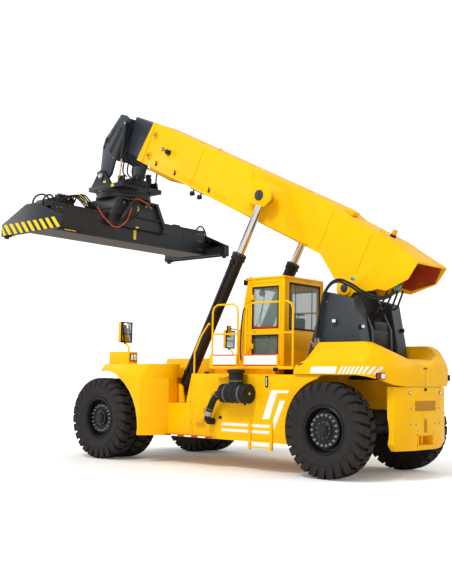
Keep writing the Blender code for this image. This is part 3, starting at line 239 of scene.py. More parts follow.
# Clear lamp lenses, ribbed inside.
LENS = Finish("clear_lens", "e8eef0", "cfd6d8", 0.08, second_tone_share=0.2, grain_mm=9, relief_mm=1.0, coat=1.0)
# Red tail lamp lenses, ribbed inside.
RED_LENS = Finish("red_lens", "b0140f", "8c1410", 0.12, second_tone_share=0.2, grain_mm=9, relief_mm=1.0, coat=1.0)
# Amber dome of the beacon.
BEACON = Finish("amber_lens", "ffa216", "f08a10", 0.1, second_tone_share=0.2, grain_mm=12, relief_mm=1.5, coat=1.0)
# Synthetic rubber of the hydraulic hoses.
HOSE = Finish("hydraulic_hose", "1a1a1c", "3d3a36", 0.5, second_tone_share=0.4, patch_mm=60, grain_mm=2,
              relief_mm=0.3)
# Yellow-passivated zinc plate of the damper rods and some fittings.
COPPER = Finish("yellow_zinc_plate", "b59468", "8a6a45", 0.3, metallic=1.0, second_tone_share=0.4, patch_mm=60)
# Plastic spiral guard round the orange hoses.
ORANGE_HOSE = Finish("orange_spiral_guard", "d8541e", "a8401a", 0.45, second_tone_share=0.3, patch_mm=50)
# Coloured tape that marks the pivot's hoses.
CYAN = Finish("cyan_hose_mark", "2aa7c7", "1f8098", 0.4, second_tone_share=0.2)
# Silvered mirror glass.
MIRROR = Finish("mirror_glass", "c8d0d6", "b4bcc2", 0.05, metallic=1.0, second_tone_share=0.1, relief_mm=0.0)
# Galvanised deck tread, grey with a coarse spangle.
TREAD = Finish("galvanised_tread", "9a9c9c", "77756f", 0.48, metallic=0.6, second_tone_share=0.5, patch_mm=80)
# Lighter grey-brown painted light on the beam's underside, standing for its lit lower flange.
UNDERSIDE_PAINTED_LIGHT = Finish("dusty_underside", "5f5a55", "776f66", 0.6, second_tone_share=0.5)
# Painted studio floor, nearly white.
FLOOR = Finish("pale_floor", "f1f1ef", "ececea", 0.9, second_tone_share=0.2, patch_mm=4000, relief_mm=0.0)


# ---------------------------------------------------------------- mesh building
def fy(distance: float) -> float:
    """Give the y of a place measured rearward from the drive axle."""
    return FRONT_AXLE_Y + distance


def boom_matrix() -> Matrix:
    """Give the matrix from the boom's frame to the machine's.

    In the boom's frame -Y runs along it to the head and +Z is square to its top.
    """
    return Matrix.Translation(PIVOT) @ Matrix.Rotation(-BOOM_ANGLE, 4, "X")


class Piece:
    """One piece under construction, in the machine's metres."""

    def __init__(self, name: str, finish: Finish, body: str, place: Matrix | None = None) -> None:
        """Start an empty piece.

        Args:
            name: The finished object's name.
            finish: What it is made of.
            body: The CAD body that it rides on.
            place: Where its own frame lies, or None for the machine's frame.
        """
        self.name, self.finish, self.body = name, finish, body
        self.place = place or Matrix.Identity(4)
        self.mesh = bmesh.new()

    def _bevel(self, verts: Iterable, width: float, angle: float = 25.0, segments: int = 2) -> None:
        """Round the sharp edges among some vertices."""
        edges = {e for v in verts for e in v.link_edges if e.is_manifold}
        sharp = [e for e in edges if e.calc_face_angle(0.0) > math.radians(angle)]
        if sharp and width > 0:
            bmesh.ops.bevel(self.mesh, geom=sharp, offset=width, offset_type="OFFSET", segments=segments,
                            profile=0.5, affect="EDGES", material=-1, clamp_overlap=True)

    def box(self, low: Point, high: Point, bevel: float = 0.003, turn: Matrix | None = None) -> "Piece":
        """Add a block between two corners, turned about its middle if asked."""
        size = Vector(high) - Vector(low)
        middle = (Vector(high) + Vector(low)) / 2
        matrix = Matrix.Translation(middle) @ (turn or Matrix.Identity(4)) @ Matrix.Diagonal((*size, 1.0))
        verts = bmesh.ops.create_cube(self.mesh, size=1.0, matrix=matrix)["verts"]
        self._bevel(verts, bevel)
        return self

    def bar(self, start: Point, end: Point, radius: float, tip: float | None = None,
            steps: int = 20, bevel: float = 0.0) -> "Piece":
        """Add a round bar, or a cone where tip gives the end's radius."""
        a, b = Vector(start), Vector(end)
        turn = (b - a).to_track_quat("Z", "Y").to_matrix().to_4x4()
        matrix = Matrix.Translation((a + b) / 2) @ turn
        verts = bmesh.ops.create_cone(self.mesh, cap_ends=True, segments=steps, radius1=radius,
                                      radius2=radius if tip is None else tip, depth=(b - a).length,
                                      matrix=matrix)["verts"]
        self._bevel(verts, bevel, 50.0)
        return self

    def plate(self, outline: Sequence[Flat], axis: Axis, low: float, high: float,
              bevel: float = 0.002) -> "Piece":
        """Add a flat outline made solid between two planes square to an axis."""
        order = {Axis.X: lambda a, b: (low, a, b), Axis.Y: lambda a, b: (a, low, b),
                 Axis.Z: lambda a, b: (a, b, low)}[axis]
        face = self.mesh.faces.new([self.mesh.verts.new(order(a, b)) for a, b in outline])
        made = bmesh.ops.extrude_face_region(self.mesh, geom=[face])["geom"]
        verts = [g for g in made if isinstance(g, bmesh.types.BMVert)]
        step = Vector((0, 0, 0))
        step[axis.value] = high - low
        bmesh.ops.translate(self.mesh, vec=step, verts=verts)
        self._bevel(verts + list(face.verts), bevel)
        return self

    def turned(self, profile: Sequence[Flat], centre: Point, axis: Point, steps: int = 48) -> "Piece":
        """Spin a closed (radius, along) profile about an axis through a centre."""
        along = Vector(axis).normalized()
        out = along.orthogonal().normalized()
        base = Vector(centre)
        verts = [self.mesh.verts.new(base + out * r + along * a) for r, a in profile]
        edges = [self.mesh.edges.new((verts[i - 1], verts[i])) for i in range(len(verts))]
        bmesh.ops.spin(self.mesh, geom=verts + edges, cent=base, axis=along, dvec=(0, 0, 0),
                       angle=2 * math.pi, steps=steps, use_merge=True, use_duplicate=False)
        return self

    def tube(self, points: Sequence[Point], radius: float, sides: int = 2, smooth: bool = True) -> "Piece":
        """Add a bent tube or hose through some points.

        Args:
            points: The middle of the tube.
            radius: Half of its diameter.
            sides: How finely its section is drawn.
            smooth: Whether it bends evenly through its points, as a hose does.
        """
        curve = bpy.data.curves.new("path", "CURVE")
        curve.dimensions = "3D"
        curve.bevel_depth = radius
        curve.bevel_resolution = sides
        curve.resolution_u = 6
        curve.use_fill_caps = True
        spline = curve.splines.new("BEZIER" if smooth else "POLY")
        if smooth:
            spline.bezier_points.add(len(points) - 1)
            for knot, point in zip(spline.bezier_points, points):
                knot.co = point
                knot.handle_left_type = knot.handle_right_type = "AUTO"
        else:
            spline.points.add(len(points) - 1)
            for knot, point in zip(spline.points, points):
                knot.co = (*point, 1.0)
        obj = bpy.data.objects.new("path", curve)
        bpy.context.scene.collection.objects.link(obj)
        bpy.context.view_layer.update()
        mesh = bpy.data.meshes.new_from_object(obj.evaluated_get(bpy.context.evaluated_depsgraph_get()))
        self.mesh.from_mesh(mesh)
        bpy.data.objects.remove(obj)
        bpy.data.curves.remove(curve)
        bpy.data.meshes.remove(mesh)
        return self

    def bolts(self, places: Iterable[Point], axis: Point, radius: float, height: float) -> "Piece":
        """Add hexagon bolt heads, each with its washer."""
        along = Vector(axis).normalized()
        for place in places:
            base = Vector(place)
            self.bar(base - along * 0.002, base + along * height * 0.25, radius * 1.35, steps=16)
            self.bar(base, base + along * height, radius, steps=6, bevel=radius * 0.12)
        return self

    def copy_of(self, node: bpy.types.Object, bevel: float) -> "Piece":
        """Add a CAD node's shape, merged, with its flat faces whole and its edges rounded."""
        self.mesh.from_mesh(node.data)
        bmesh.ops.remove_doubles(self.mesh, verts=self.mesh.verts, dist=0.0001)
        bmesh.ops.dissolve_limit(self.mesh, angle_limit=math.radians(0.6), verts=self.mesh.verts,
                                 edges=self.mesh.edges)
        self._bevel(self.mesh.verts, bevel, 32.0)
        return self

    def mirrored(self) -> "Piece":
        """Add the mirror image of everything so far, across the machine's middle."""
        bmesh.ops.mirror(self.mesh, geom=self.mesh.verts[:] + self.mesh.edges[:] + self.mesh.faces[:],
                         axis="X", merge_dist=-1.0)
        return self

    def done(self, replaces: Sequence[str] = (), slot: str | None = None,
             angle: float = 35.0) -> bpy.types.Object:
        """Finish the piece, so that it rides on its body.

        Args:
            replaces: CAD nodes that it stands for.
            slot: The record's material slot; not used.
            angle: Edges sharper than this stay sharp.

        Returns:
            The finished object.
        """
        bmesh.ops.remove_doubles(self.mesh, verts=self.mesh.verts, dist=0.00002)
        self.mesh.transform(self.place)
        bmesh.ops.recalc_face_normals(self.mesh, faces=self.mesh.faces)
        mesh = bpy.data.meshes.new(self.name)
        self.mesh.to_mesh(mesh)
        self.mesh.free()
        mesh.shade_smooth()
        mesh.set_sharp_from_angle(angle=math.radians(angle))
        mesh.materials.append(self.finish.material())
        obj = bpy.data.objects.new(self.name, mesh)
        bpy.context.scene.collection.objects.link(obj)
        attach(obj, self.body)
        if replaces:
            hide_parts(*replaces)
        LOG.info("%s: %d faces", self.name, len(mesh.polygons))
        return obj


def refine(frame: dict, node: str, finish: Finish, bevel: float = 0.004) -> bpy.types.Object:
    """Stand a finished copy of a CAD node in its place, with rounded edges.

    Args:
        node: The CAD node's name.
        finish: What it is painted with.
        bevel: The width of its rounded edges.

    Returns:
        The finished object.
    """
    obj = frame["nodes"][node]
    piece = Piece("fine_" + node, finish, obj["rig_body"])
    return piece.copy_of(obj, bevel).done(replaces=[node])


def ring(centre: Point, radius: float, count: int, axis: Axis = Axis.X, start: float = 0.0) -> list[Point]:
    """Give points evenly spaced on a circle square to an axis."""
    points = []
    for i in range(count):
        a = start + 2 * math.pi * i / count
        pair = [radius * math.cos(a), radius * math.sin(a)]
        pair.insert(axis.value, 0.0)
        points.append(tuple(c + p for c, p in zip(centre, pair)))
    return points


# ---------------------------------------------------------------- wheels
@dataclass
class Tyre:
    """A lug tyre: carcass with stepped sidewalls and diagonal shoulder lugs."""

    name: str
    body: str
    centre: Vector
    width: float = 0.50
    seat: float = 0.4405
    lugs: int = 26
    steps: int = 96

    def profile(self) -> list[Flat]:
        """Give the closed section of the carcass, as (radius, along)."""
        half = self.width / 2
        one = [(self.seat, 0.198), (0.483, 0.198), (0.50, 0.215), (0.53, 0.228), (0.545, 0.226),
               (0.60, 0.240), (0.655, 0.246), (0.66, half), (0.675, half), (0.68, 0.246), (0.72, 0.240),
               (0.80, 0.228), (0.86, 0.205), (0.89, 0.16), (0.895, 0.08)]
        return one + [(r, -a) for r, a in reversed(one)]

    def lug(self, piece: Piece, angle: float, side: int) -> None:
        """Add one block that runs from the tread's middle over the shoulder and down the side."""
        shape = [((0.010, 0.949), (0.010, 0.880), 0.080), ((0.120, 0.950), (0.120, 0.880), 0.079),
                 ((0.205, 0.944), (0.200, 0.860), 0.078), ((0.235, 0.924), (0.205, 0.850), 0.076),
                 ((0.2485, 0.880), (0.215, 0.830), 0.071), ((0.250, 0.800), (0.222, 0.780), 0.064),
                 ((0.246, 0.715), (0.232, 0.705), 0.058)]
        rows = []
        for i, (outer, inner, half) in enumerate(shape):
            row = []
            for (across, radius), sign in ((outer, 1), (outer, -1), (inner, -1), (inner, 1)):
                wide = half + (0.006 if radius == inner[1] else 0.0)
                lean = angle + 0.022 * i + sign * wide / radius
                row.append(piece.mesh.verts.new((side * across, radius * math.cos(lean),
                                                 radius * math.sin(lean))))
            rows.append(row)
        for one, two in zip(rows, rows[1:]):
            for k in range(4):
                piece.mesh.faces.new((one[k], one[k - 1], two[k - 1], two[k]))
        piece.mesh.faces.new(rows[0])
        piece.mesh.faces.new(rows[-1][::-1])

    def build(self) -> None:
        """Build the tyre in place of its CAD solid."""
        piece = Piece("fine_" + self.name, RUBBER, self.body, Matrix.Translation(self.centre))
        piece.turned(self.profile(), (0, 0, 0), (1, 0, 0), self.steps)
        pitch = 2 * math.pi / self.lugs
        for i in range(self.lugs):
            self.lug(piece, pitch * i, 1)
            self.lug(piece, pitch * (i + 0.5), -1)
        piece.done([self.name], "tyre", 28)


@dataclass
class Rim:
    """A rim with its dished disc, hub and a ring of wheel bolts."""

    name: str
    body: str
    centre: Vector
    outward: int
    inner: float
    disc: float
    dish: float
    bolts: int

    def section(self) -> list[Flat]:
        """Give the closed section, as (radius, outward)."""
        d, low = self.disc, self.disc - self.dish
        front = [(0.0, d + 0.085), (0.11, d + 0.085), (0.125, d + 0.078), (0.128, d + 0.055),
                 (0.175, d + 0.048),
                 (0.19, d + 0.036), (0.19, d + 0.004), (0.205, d), (0.335, d), (0.35, d - 0.010),
                 (0.362, low),
                 (0.405, low), (0.418, 0.16), (0.428, 0.19), (0.442, 0.219), (0.462, 0.222), (0.474, 0.214),
                 (0.474, 0.204), (0.4395, 0.2)]
        if self.inner < TWIN_DEPTH:
            front += [(0.4395, -0.385), (0.452, -0.387), (0.4395, -0.389)]
        back = [(0.4395, self.inner + 0.02), (0.474, self.inner + 0.018), (0.474, self.inner),
                (0.438, self.inner),
                (0.405, self.inner + 0.05), (0.405, low - 0.06), (0.33, low - 0.06), (0.31, d - 0.05),
                (0.19, d - 0.05), (0.16, 0.02), (0.0, 0.02)]
        return front + back

    def build(self) -> None:
        """Build the rim in place of its CAD solid, then its fasteners."""
        out = self.outward
        piece = Piece("fine_" + self.name, BLACK, self.body, Matrix.Translation(self.centre))
        profile = [(r, out * a) for r, a in self.section()]
        piece.turned(profile, (0, 0, 0), (1, 0, 0), 96)
        piece.done([self.name], "black")
        face = out * self.disc
        nuts = Piece(self.name + "_nuts", ZINC, self.body, Matrix.Translation(self.centre))
        nuts.bolts(ring((face, 0, 0), 0.298, self.bolts), (out, 0, 0), 0.019, 0.034)
        for x, y, z in ring((face, 0, 0), 0.298, self.bolts):
            nuts.bar((x, y, z), (x + out * 0.05, y, z), 0.011, steps=10)
        nuts.bolts(ring((face + out * 0.036, 0, 0), 0.155, 10, start=0.3), (out, 0, 0), 0.010, 0.016)
        nuts.done()
        cap = Piece(self.name + "_hub_cap", GREY, self.body, Matrix.Translation(self.centre))
        cap.bar((face + out * 0.080, 0, 0), (face + out * 0.098, 0, 0), 0.085, 0.078, 32, 0.004)
        cap.bolts(ring((face + out * 0.097, 0, 0), 0.055, 6), (out, 0, 0), 0.007, 0.010)
        cap.done()


def build_wheels() -> None:
    """Build the four twin front wheels and the two rear wheels."""
    for side in Side:
        s, word = side.value, side.name.lower()
        for name, x, y, body in ((f"front_{word}_outer_tyre", 1.875, 0.0, f"front_{word}_wheels"),
                                 (f"front_{word}_inner_tyre", 1.285, 0.0, f"front_{word}_wheels"),
                                 (f"rear_{word}_tyre", 1.43, WHEELBASE, f"rear_{word}_wheel")):
            Tyre(name, body, Vector((s * x, fy(y), TYRE_RADIUS))).build()
        Rim(f"front_{word}_rim", f"front_{word}_wheels", Vector((s * 1.875, fy(0), TYRE_RADIUS)), s,
            -0.811, 0.11, 0.05, 20).build()
        Rim(f"rear_{word}_rim", f"rear_{word}_wheel", Vector((s * 1.43, fy(WHEELBASE), TYRE_RADIUS)), s,
            -0.221, 0.18, 0.09, 18).build()


# ---------------------------------------------------------------- carried-over CAD shapes
PAINT: dict[str, tuple[Finish, float]] = {
    "main_frame": (YELLOW, 0.005), "left_tank_box": (YELLOW, 0.006), "right_tank_box": (YELLOW, 0.006),
    "front_left_fender": (YELLOW, 0.008), "front_right_fender": (YELLOW, 0.008),
    "engine_hood": (YELLOW, 0.022), "counterweight": (YELLOW, 0.016),
    "left_boom_tower": (SLATE, 0.006), "right_boom_tower": (SLATE, 0.006), "cab_platform": (YELLOW, 0.003),
    "cab_shell": (YELLOW, 0.008), "cab_roof": (YELLOW, 0.02), "cab_door": (YELLOW, 0.005),
    "outer_boom": (BOOM_YELLOW, 0.005), "extension_boom": (SLATE, 0.005), "boom_head": (SLATE, 0.006),
    "tilt_frame": (GREY, 0.006), "spreader_carriage": (GREY, 0.005), "spreader_beam": (GREY, 0.005),
    "left_spreader_arm": (GREY, 0.005), "right_spreader_arm": (GREY, 0.005), "drive_axle": (GREY, 0.004),
    "steer_axle": (GREY, 0.004), "rear_left_knuckle": (GREY, 0.003), "rear_right_knuckle": (GREY, 0.003),
    "engine_block": (GREY, 0.006), "left_front_rail": (YELLOW, 0.0), "left_rear_rail": (YELLOW, 0.0),
    "right_rail": (YELLOW, 0.0), "left_ladder_rail": (YELLOW, 0.0), "left_step_frame": (YELLOW, 0.003),
    "air_cleaner": (PLASTIC, 0.006), "left_mirror": (YELLOW, 0.004), "right_mirror": (YELLOW, 0.004),
    "lift_left_barrel": (BLACK, 0.005), "lift_right_barrel": (BLACK, 0.005),
    "lift_left_rod": (CHROME, 0.004),
    "lift_right_rod": (CHROME, 0.004), "damper_left_barrel": (BLACK, 0.002),
    "damper_right_barrel": (BLACK, 0.002),
    "damper_left_rod": (COPPER, 0.002), "damper_right_rod": (COPPER, 0.002), "windscreen": (GLASS, 0.0),
    "rear_window": (GLASS, 0.0), "right_window": (GLASS, 0.0), "door_glass": (GLASS, 0.0),
    "seat_base": (PLASTIC, 0.006), "steering_column": (PLASTIC, 0.004),
}


def dress_cad(frame: dict) -> None:
    """Give every carried-over CAD shape its finish and rounded edges."""
    for node, (finish, bevel) in PAINT.items():
        refine(frame, node, finish, bevel)


def sided(name: str, finish: Finish) -> Piece:
    """Start a chassis piece that is drawn on the left, then mirrored to the right."""
    return Piece(name, finish, "chassis")


def boom_piece(name: str, finish: Finish, body: str = "outer_boom") -> Piece:
    """Start a piece drawn in the boom's own frame: x, -along, square to the boom."""
    return Piece(name, finish, body, boom_matrix())


# ---------------------------------------------------------------- padded seat
@dataclass
class Pad:
    """A stuffed seat pad, swollen from a slightly smaller block by cloth pressure."""

    node: str
    low: Point
    high: Point
    channels: Sequence[float]
    cap: float = 0.010
    voxel: float = 0.006
    frames: int = 20

    def swell(self, obj: bpy.types.Object) -> None:
        """Blow the pad up a little, each point moving no further than the cap."""
        remesh = obj.modifiers.new("remesh", "REMESH")
        remesh.mode, remesh.voxel_size = "VOXEL", self.voxel
        bpy.context.view_layer.update()
        fine = bpy.data.meshes.new_from_object(obj.evaluated_get(bpy.context.evaluated_depsgraph_get()))
        obj.modifiers.clear()
        obj.data = fine
        start = [v.co.copy() for v in fine.vertices]
        cloth = obj.modifiers.new("cloth", "CLOTH")
        cloth.settings.use_pressure = True
        cloth.settings.uniform_pressure_force = 4.0
        cloth.settings.quality = 4
        cloth.settings.effector_weights.gravity = 0.0
        cloth.point_cache.frame_start, cloth.point_cache.frame_end = 1, self.frames
        scene = bpy.context.scene
        for number in range(1, self.frames + 1):
            scene.frame_set(number)
        blown = bpy.data.meshes.new_from_object(obj.evaluated_get(bpy.context.evaluated_depsgraph_get()))
        obj.modifiers.clear()
        for vert, old in zip(blown.vertices, start):
            step = vert.co - old
            if step.length > self.cap:
                vert.co = old + step * (self.cap / step.length)
        obj.data = blown
        scene.frame_set(1)

    def build(self) -> None:
        """Build the pad in place of its CAD solid, with sewn channels."""
        piece = Piece("fine_" + self.node, CLOTH, "chassis")
        piece.box(self.low, self.high, 0.03)
        obj = piece.done([self.node], "cloth")
        self.swell(obj)
        self.sew(obj)
        smooth = obj.modifiers.new("smooth", "SUBSURF")
        smooth.levels = smooth.render_levels = 1

    def sew(self, obj: bpy.types.Object) -> None:
        """Pull narrow channels into the pad's faces where it is sewn through."""
        middle = (Vector(self.low) + Vector(self.high)) / 2
        for vert in obj.data.vertices:
            depth = sum(math.exp(-((vert.co.x - x) / 0.009) ** 2) for x in self.channels)
            vert.co += (middle - vert.co).normalized() * 0.008 * min(depth, 1.0)
        obj.data.update()


def build_seat() -> None:
    """Build the two pads, the arm rests and the levers on them."""
    rows = (-0.12, 0.0, 0.12)
    Pad("seat_cushion", (-0.238, fy(3.775), 2.612), (0.238, fy(4.245), 2.728), rows).build()
    Pad("seat_back", (-0.228, fy(4.285), 2.675), (0.228, fy(4.376), 3.325), rows).build()
    frame = Piece("seat_fittings", PLASTIC, "chassis")
    frame.box((-0.075, fy(4.245), 2.47), (0.075, fy(4.37), 2.69), 0.01)
    for x in (-0.31, 0.265):
        frame.box((x, fy(3.95), 2.86), (x + 0.05, fy(4.26), 2.90), 0.012)
        frame.bar((x + 0.025, fy(4.24), 2.66), (x + 0.025, fy(4.24), 2.87), 0.014)
        frame.bar((x + 0.025, fy(3.98), 2.90), (x + 0.025, fy(3.97), 2.99), 0.016, 0.02, 16, 0.003)
    frame.done()


# ---------------------------------------------------------------- paint and tape
@dataclass
class Markings:
    """White side stripes, blank plates and reflective tape on the chassis."""

    tank_x: float = 1.55
    hood_x: float = 1.60

    def build(self) -> None:
        """Lay every stripe and tape, on both sides of the machine."""
        stripes = sided("side_stripes", WHITE)
        big = [(4.582, 1.101), (4.77, 1.109), (4.971, 1.651), (5.246, 1.651), (5.284, 1.705), (4.81, 1.705)]
        small = [(4.79, 0.86), (4.90, 0.90), (5.18, 1.494), (5.035, 1.494)]
        for outline in (big, small):
            self.panel(stripes, outline)
        for low, end in ((0.925, 4.80), (0.80, 4.76)):
            high = low + 0.06
            self.panel(stripes, [(3.435, low), (end, low), (end + 0.03, high), (3.46, high)])
        hood = bpy.data.objects["fine_engine_hood"]
        for i in range(9):
            y = 6.50 + i * 0.090
            self.laid(stripes, hood, (y, y + 0.05), (2.055, 2.20), 0.09)
        self.laid(stripes, hood, (5.83, 6.44), (2.06, 2.197), 0.04)
        stripes.mirrored().done()
        self.tape()

    def panel(self, piece: Piece, outline: Sequence[Flat]) -> None:
        """Lay one flat mark on the tank box's side."""
        low = [piece.mesh.verts.new((self.tank_x - PAINT_SINK, fy(y), z)) for y, z in outline]
        high = [piece.mesh.verts.new((self.tank_x + PAINT_LIFT, fy(y), z)) for y, z in outline]
        piece.mesh.faces.new(high)
        piece.mesh.faces.new(low[::-1])
        for i in range(len(low)):
            piece.mesh.faces.new((low[i - 1], low[i], high[i], high[i - 1]))

    def laid(self, piece: Piece, skin: bpy.types.Object, span: Flat, rise: Flat, lean: float) -> None:
        """Lay one slanted mark on the hood's own skin, in a fine grid that follows it."""
        tree = BVHTree.FromObject(skin, bpy.context.evaluated_depsgraph_get())
        steps = 6
        grid = []
        for i in range(steps + 1):
            row = []
            for j in range(steps + 1):
                y = fy(span[0] + (span[1] - span[0]) * j / steps + lean * i / steps)
                z = rise[0] + (rise[1] - rise[0]) * i / steps
                hit = tree.ray_cast(Vector((2.2, y, z)), Vector((-1, 0, 0)))[0]
                x = hit.x if hit else self.hood_x
                row.append(piece.mesh.verts.new((x + PAINT_LIFT * 1.5, y, z)))
            grid.append(row)
        for one, two in zip(grid, grid[1:]):
            for j in range(steps):
                piece.mesh.faces.new((one[j], one[j + 1], two[j + 1], two[j]))

    def tape(self) -> None:
        """Lay white and red tape along the kick plates and the running boards."""
        white, red = sided("kick_tape", WHITE), sided("kick_tape_red", RED)
        for start, end in ((3.13, 3.80), (4.03, 4.92)):
            white.box((1.5195, fy(start), 2.235), (1.5215, fy(end), 2.425), 0.0)
            for low in (2.205, 2.425):
                red.box((1.5195, fy(start), low), (1.5213, fy(end), low + 0.022), 0.0)
        for i in range(7):
            y = 1.86 + i * 0.21
            tape = white if i % 2 else red
            tape.box((1.7095, fy(y), 0.633), (1.7112, fy(y + 0.19), 0.667), 0.0)
        white.mirrored().done()
        red.mirrored().done()


# ---------------------------------------------------------------- chassis details
def build_hood_details() -> None:
    """Seams, recesses, plates, lamps and bolts on the hood and the counterweight."""
    rear = fy(REAR_FACE)
    seam = Piece("hood_seams", PLASTIC, "chassis")
    seam.box((-0.66, rear - 0.004, 1.8205), (0.66, rear + 0.0012, 1.8275), 0.0)
    seam.box((-0.003, rear - 0.02, 1.835), (0.003, rear + 0.001, 2.235), 0.0)
    for s in (1, -1):
        seam.box((s * 0.045 - 0.018, rear - 0.002, 2.175), (s * 0.045 + 0.018, rear + 0.012, 2.205), 0.003)
        seam.box((s * 1.598 - 0.004, fy(5.44), 2.037), (s * 1.598 + 0.004, fy(6.94), 2.043), 0.0)
    seam.box((-0.04, rear - 0.002, 1.745), (0.04, rear + 0.016, 1.80), 0.004)
    for s in (1, -1):
        seam.bar((s * 0.375, rear - 0.01, 1.09), (s * 0.375, rear + 0.001, 1.09), 0.016)
        seam.bar((s * 0.33, rear - 0.01, 0.955), (s * 0.33, rear + 0.001, 0.955), 0.011)
        seam.bar((s * 0.33, rear - 0.01, 0.895), (s * 0.33, rear + 0.001, 0.895), 0.011)
    seam.done()
    # The mesh panel and the slot on the counterweight get darker yellow as painted shade, for the shade
    # inside them.
    recess_shade = Piece("counterweight_recesses", RECESS_SHADE_YELLOW, "chassis")
    recess_shade.box((-0.41, rear - 0.001, 1.35), (0.41, rear + 0.004, 1.55), 0.001)
    recess_shade.plate([(-0.06, 0.92), (0.06, 0.92), (0.06, 1.15), (0.03, 1.195), (-0.03, 1.195), (-0.06, 1.15)],
               Axis.Y, rear - 0.001, rear + 0.0015, 0.0)
    recess_shade.done()
    cast = Piece("counterweight_plates", YELLOW, "chassis")
    cast.box((-0.118, rear - 0.001, 1.22), (0.118, rear + 0.012, 1.33), 0.003)
    cast.plate([(-0.075, 0.905), (0.075, 0.905), (0.075, 1.16), (0.045, 1.21), (-0.045, 1.21),
                (-0.075, 1.16)],
               Axis.Y, rear - 0.001, rear + 0.0004, 0.0)
    for s in (1, -1):
        cast.box((s * 0.30 - 0.02, rear - 0.001, 0.66), (s * 0.30 + 0.02, rear + 0.010, 0.88), 0.004)
    cast.box((-0.32, rear - 0.001, 0.865), (0.32, rear + 0.010, 0.90), 0.004)
    cast.box((-0.32, rear - 0.001, 0.645), (0.32, rear + 0.010, 0.675), 0.004)
    cast.done()
    lamps = sided("tail_lamp_bodies", PLASTIC)
    clear, red = sided("tail_lamp_clear", LENS), sided("tail_lamp_red", RED_LENS)
    out = Vector((0.60, 0.80, 0.0))
    turn = Matrix.Rotation(math.atan2(-out.x, out.y), 4, "Z")
    centre = Vector((1.355, fy(7.318), 2.02))
    lamps.box(centre - Vector((0.090, 0.03, 0.062)), centre + Vector((0.090, 0.022, 0.062)), 0.008, turn)
    side = Vector((-out.y, out.x, 0))
    for piece, shift in ((clear, 0.042), (red, -0.042)):
        middle = centre + out * 0.02 + side * shift
        piece.box(middle - Vector((0.038, 0.01, 0.048)), middle + Vector((0.038, 0.012, 0.048)), 0.006,
                  turn)
    clear.bar((0.60, rear - 0.004, 1.71), (0.60, rear + 0.012, 1.71), 0.030, 0.027, 24, 0.003)
    lamps.bar((0.60, rear - 0.004, 1.71), (0.60, rear + 0.006, 1.71), 0.038, steps=24)
    for piece in (lamps, clear, red):
        piece.mirrored().done()
    fasteners = Piece("counterweight_bolts", ZINC, "chassis")
    fasteners.bolts([(x, rear, z) for x in (-0.56, 0.56) for z in (1.40, 1.10)], (0, 1, 0), 0.016, 0.012)
    fasteners.bolts([(s * 1.02, fy(y), 2.695) for s in (1, -1) for y in (5.95, 6.85)], (0, 0, 1), 0.014,
                    0.006)
    fasteners.done()


def build_side_details() -> None:
    """Step treads, sight gauge, filler caps, door frames and bolts along the tank boxes."""
    tread = sided("step_treads", TREAD)
    for start, z in ((3.36, 1.95), (3.14, 1.61), (2.90, 1.28), (2.70, 0.97)):
        tread.box((1.56, fy(start) + 0.012, z + 0.0295), (1.655, fy(start + 0.30) - 0.012, z + 0.0335),
                  0.001)
    for i in range(12):
        tread.box((1.565, fy(1.86 + i * 0.12), 0.6695), (1.70, fy(1.95 + i * 0.12), 0.6745), 0.001)
    tread.done()
    dark = Piece("side_dark_parts", PLASTIC, "chassis")
    for s in (1, -1):
        dark.box((s * 1.5505 - 0.0006, fy(2.508), 0.70), (s * 1.5505 + 0.0006, fy(2.512), 2.0), 0.0)
        dark.box((s * 1.5505 - 0.0006, fy(1.93), 1.396), (s * 1.5505 + 0.0006, fy(2.51), 1.400), 0.0)
        dark.bar((s * 1.3, fy(2.75), 2.03), (s * 1.3, fy(2.75), 2.075), 0.05, steps=24, bevel=0.006)
    dark.box((1.549, fy(4.66), 1.76), (1.565, fy(4.73), 2.0), 0.006)
    dark.bar((1.52, fy(4.92), 2.13), (1.60, fy(4.92), 2.13), 0.045, 0.04, 24, 0.01)
    dark.box((1.545, fy(3.37), 1.06), (1.566, fy(3.45), 1.12), 0.004)
    dark.done()
    glass = Piece("sight_gauge_glass", LENS, "chassis")
    glass.bar((1.566, fy(4.695), 1.79), (1.566, fy(4.695), 1.97), 0.011)
    glass.done()
    yellow = Piece("side_door_frames", YELLOW, "chassis")
    for s in (1, -1):
        x = sorted((s * 1.549, s * 1.556))
        yellow.box((x[0], fy(2.56), 0.72), (x[1], fy(2.60), 1.96), 0.001)
        for z in (0.9, 1.75):
            yellow.bar((s * 1.556, fy(2.535), z), (s * 1.556, fy(2.535), z + 0.09), 0.011)
    yellow.done()
    fasteners = Piece("side_bolts", ZINC, "chassis")
    places = [(fy(y), z) for y, z in ((2.62, 1.48), (2.62, 1.10), (3.02, 0.80), (3.5, 1.94), (5.1, 1.92),
                                            (4.35, 1.93), (3.26, 0.74), (2.1, 0.78), (4.96, 0.78))]
    for s in (1, -1):
        fasteners.bolts([(s * 1.55, y, z) for y, z in places], (s, 0, 0), 0.011, 0.008)
    fasteners.done()


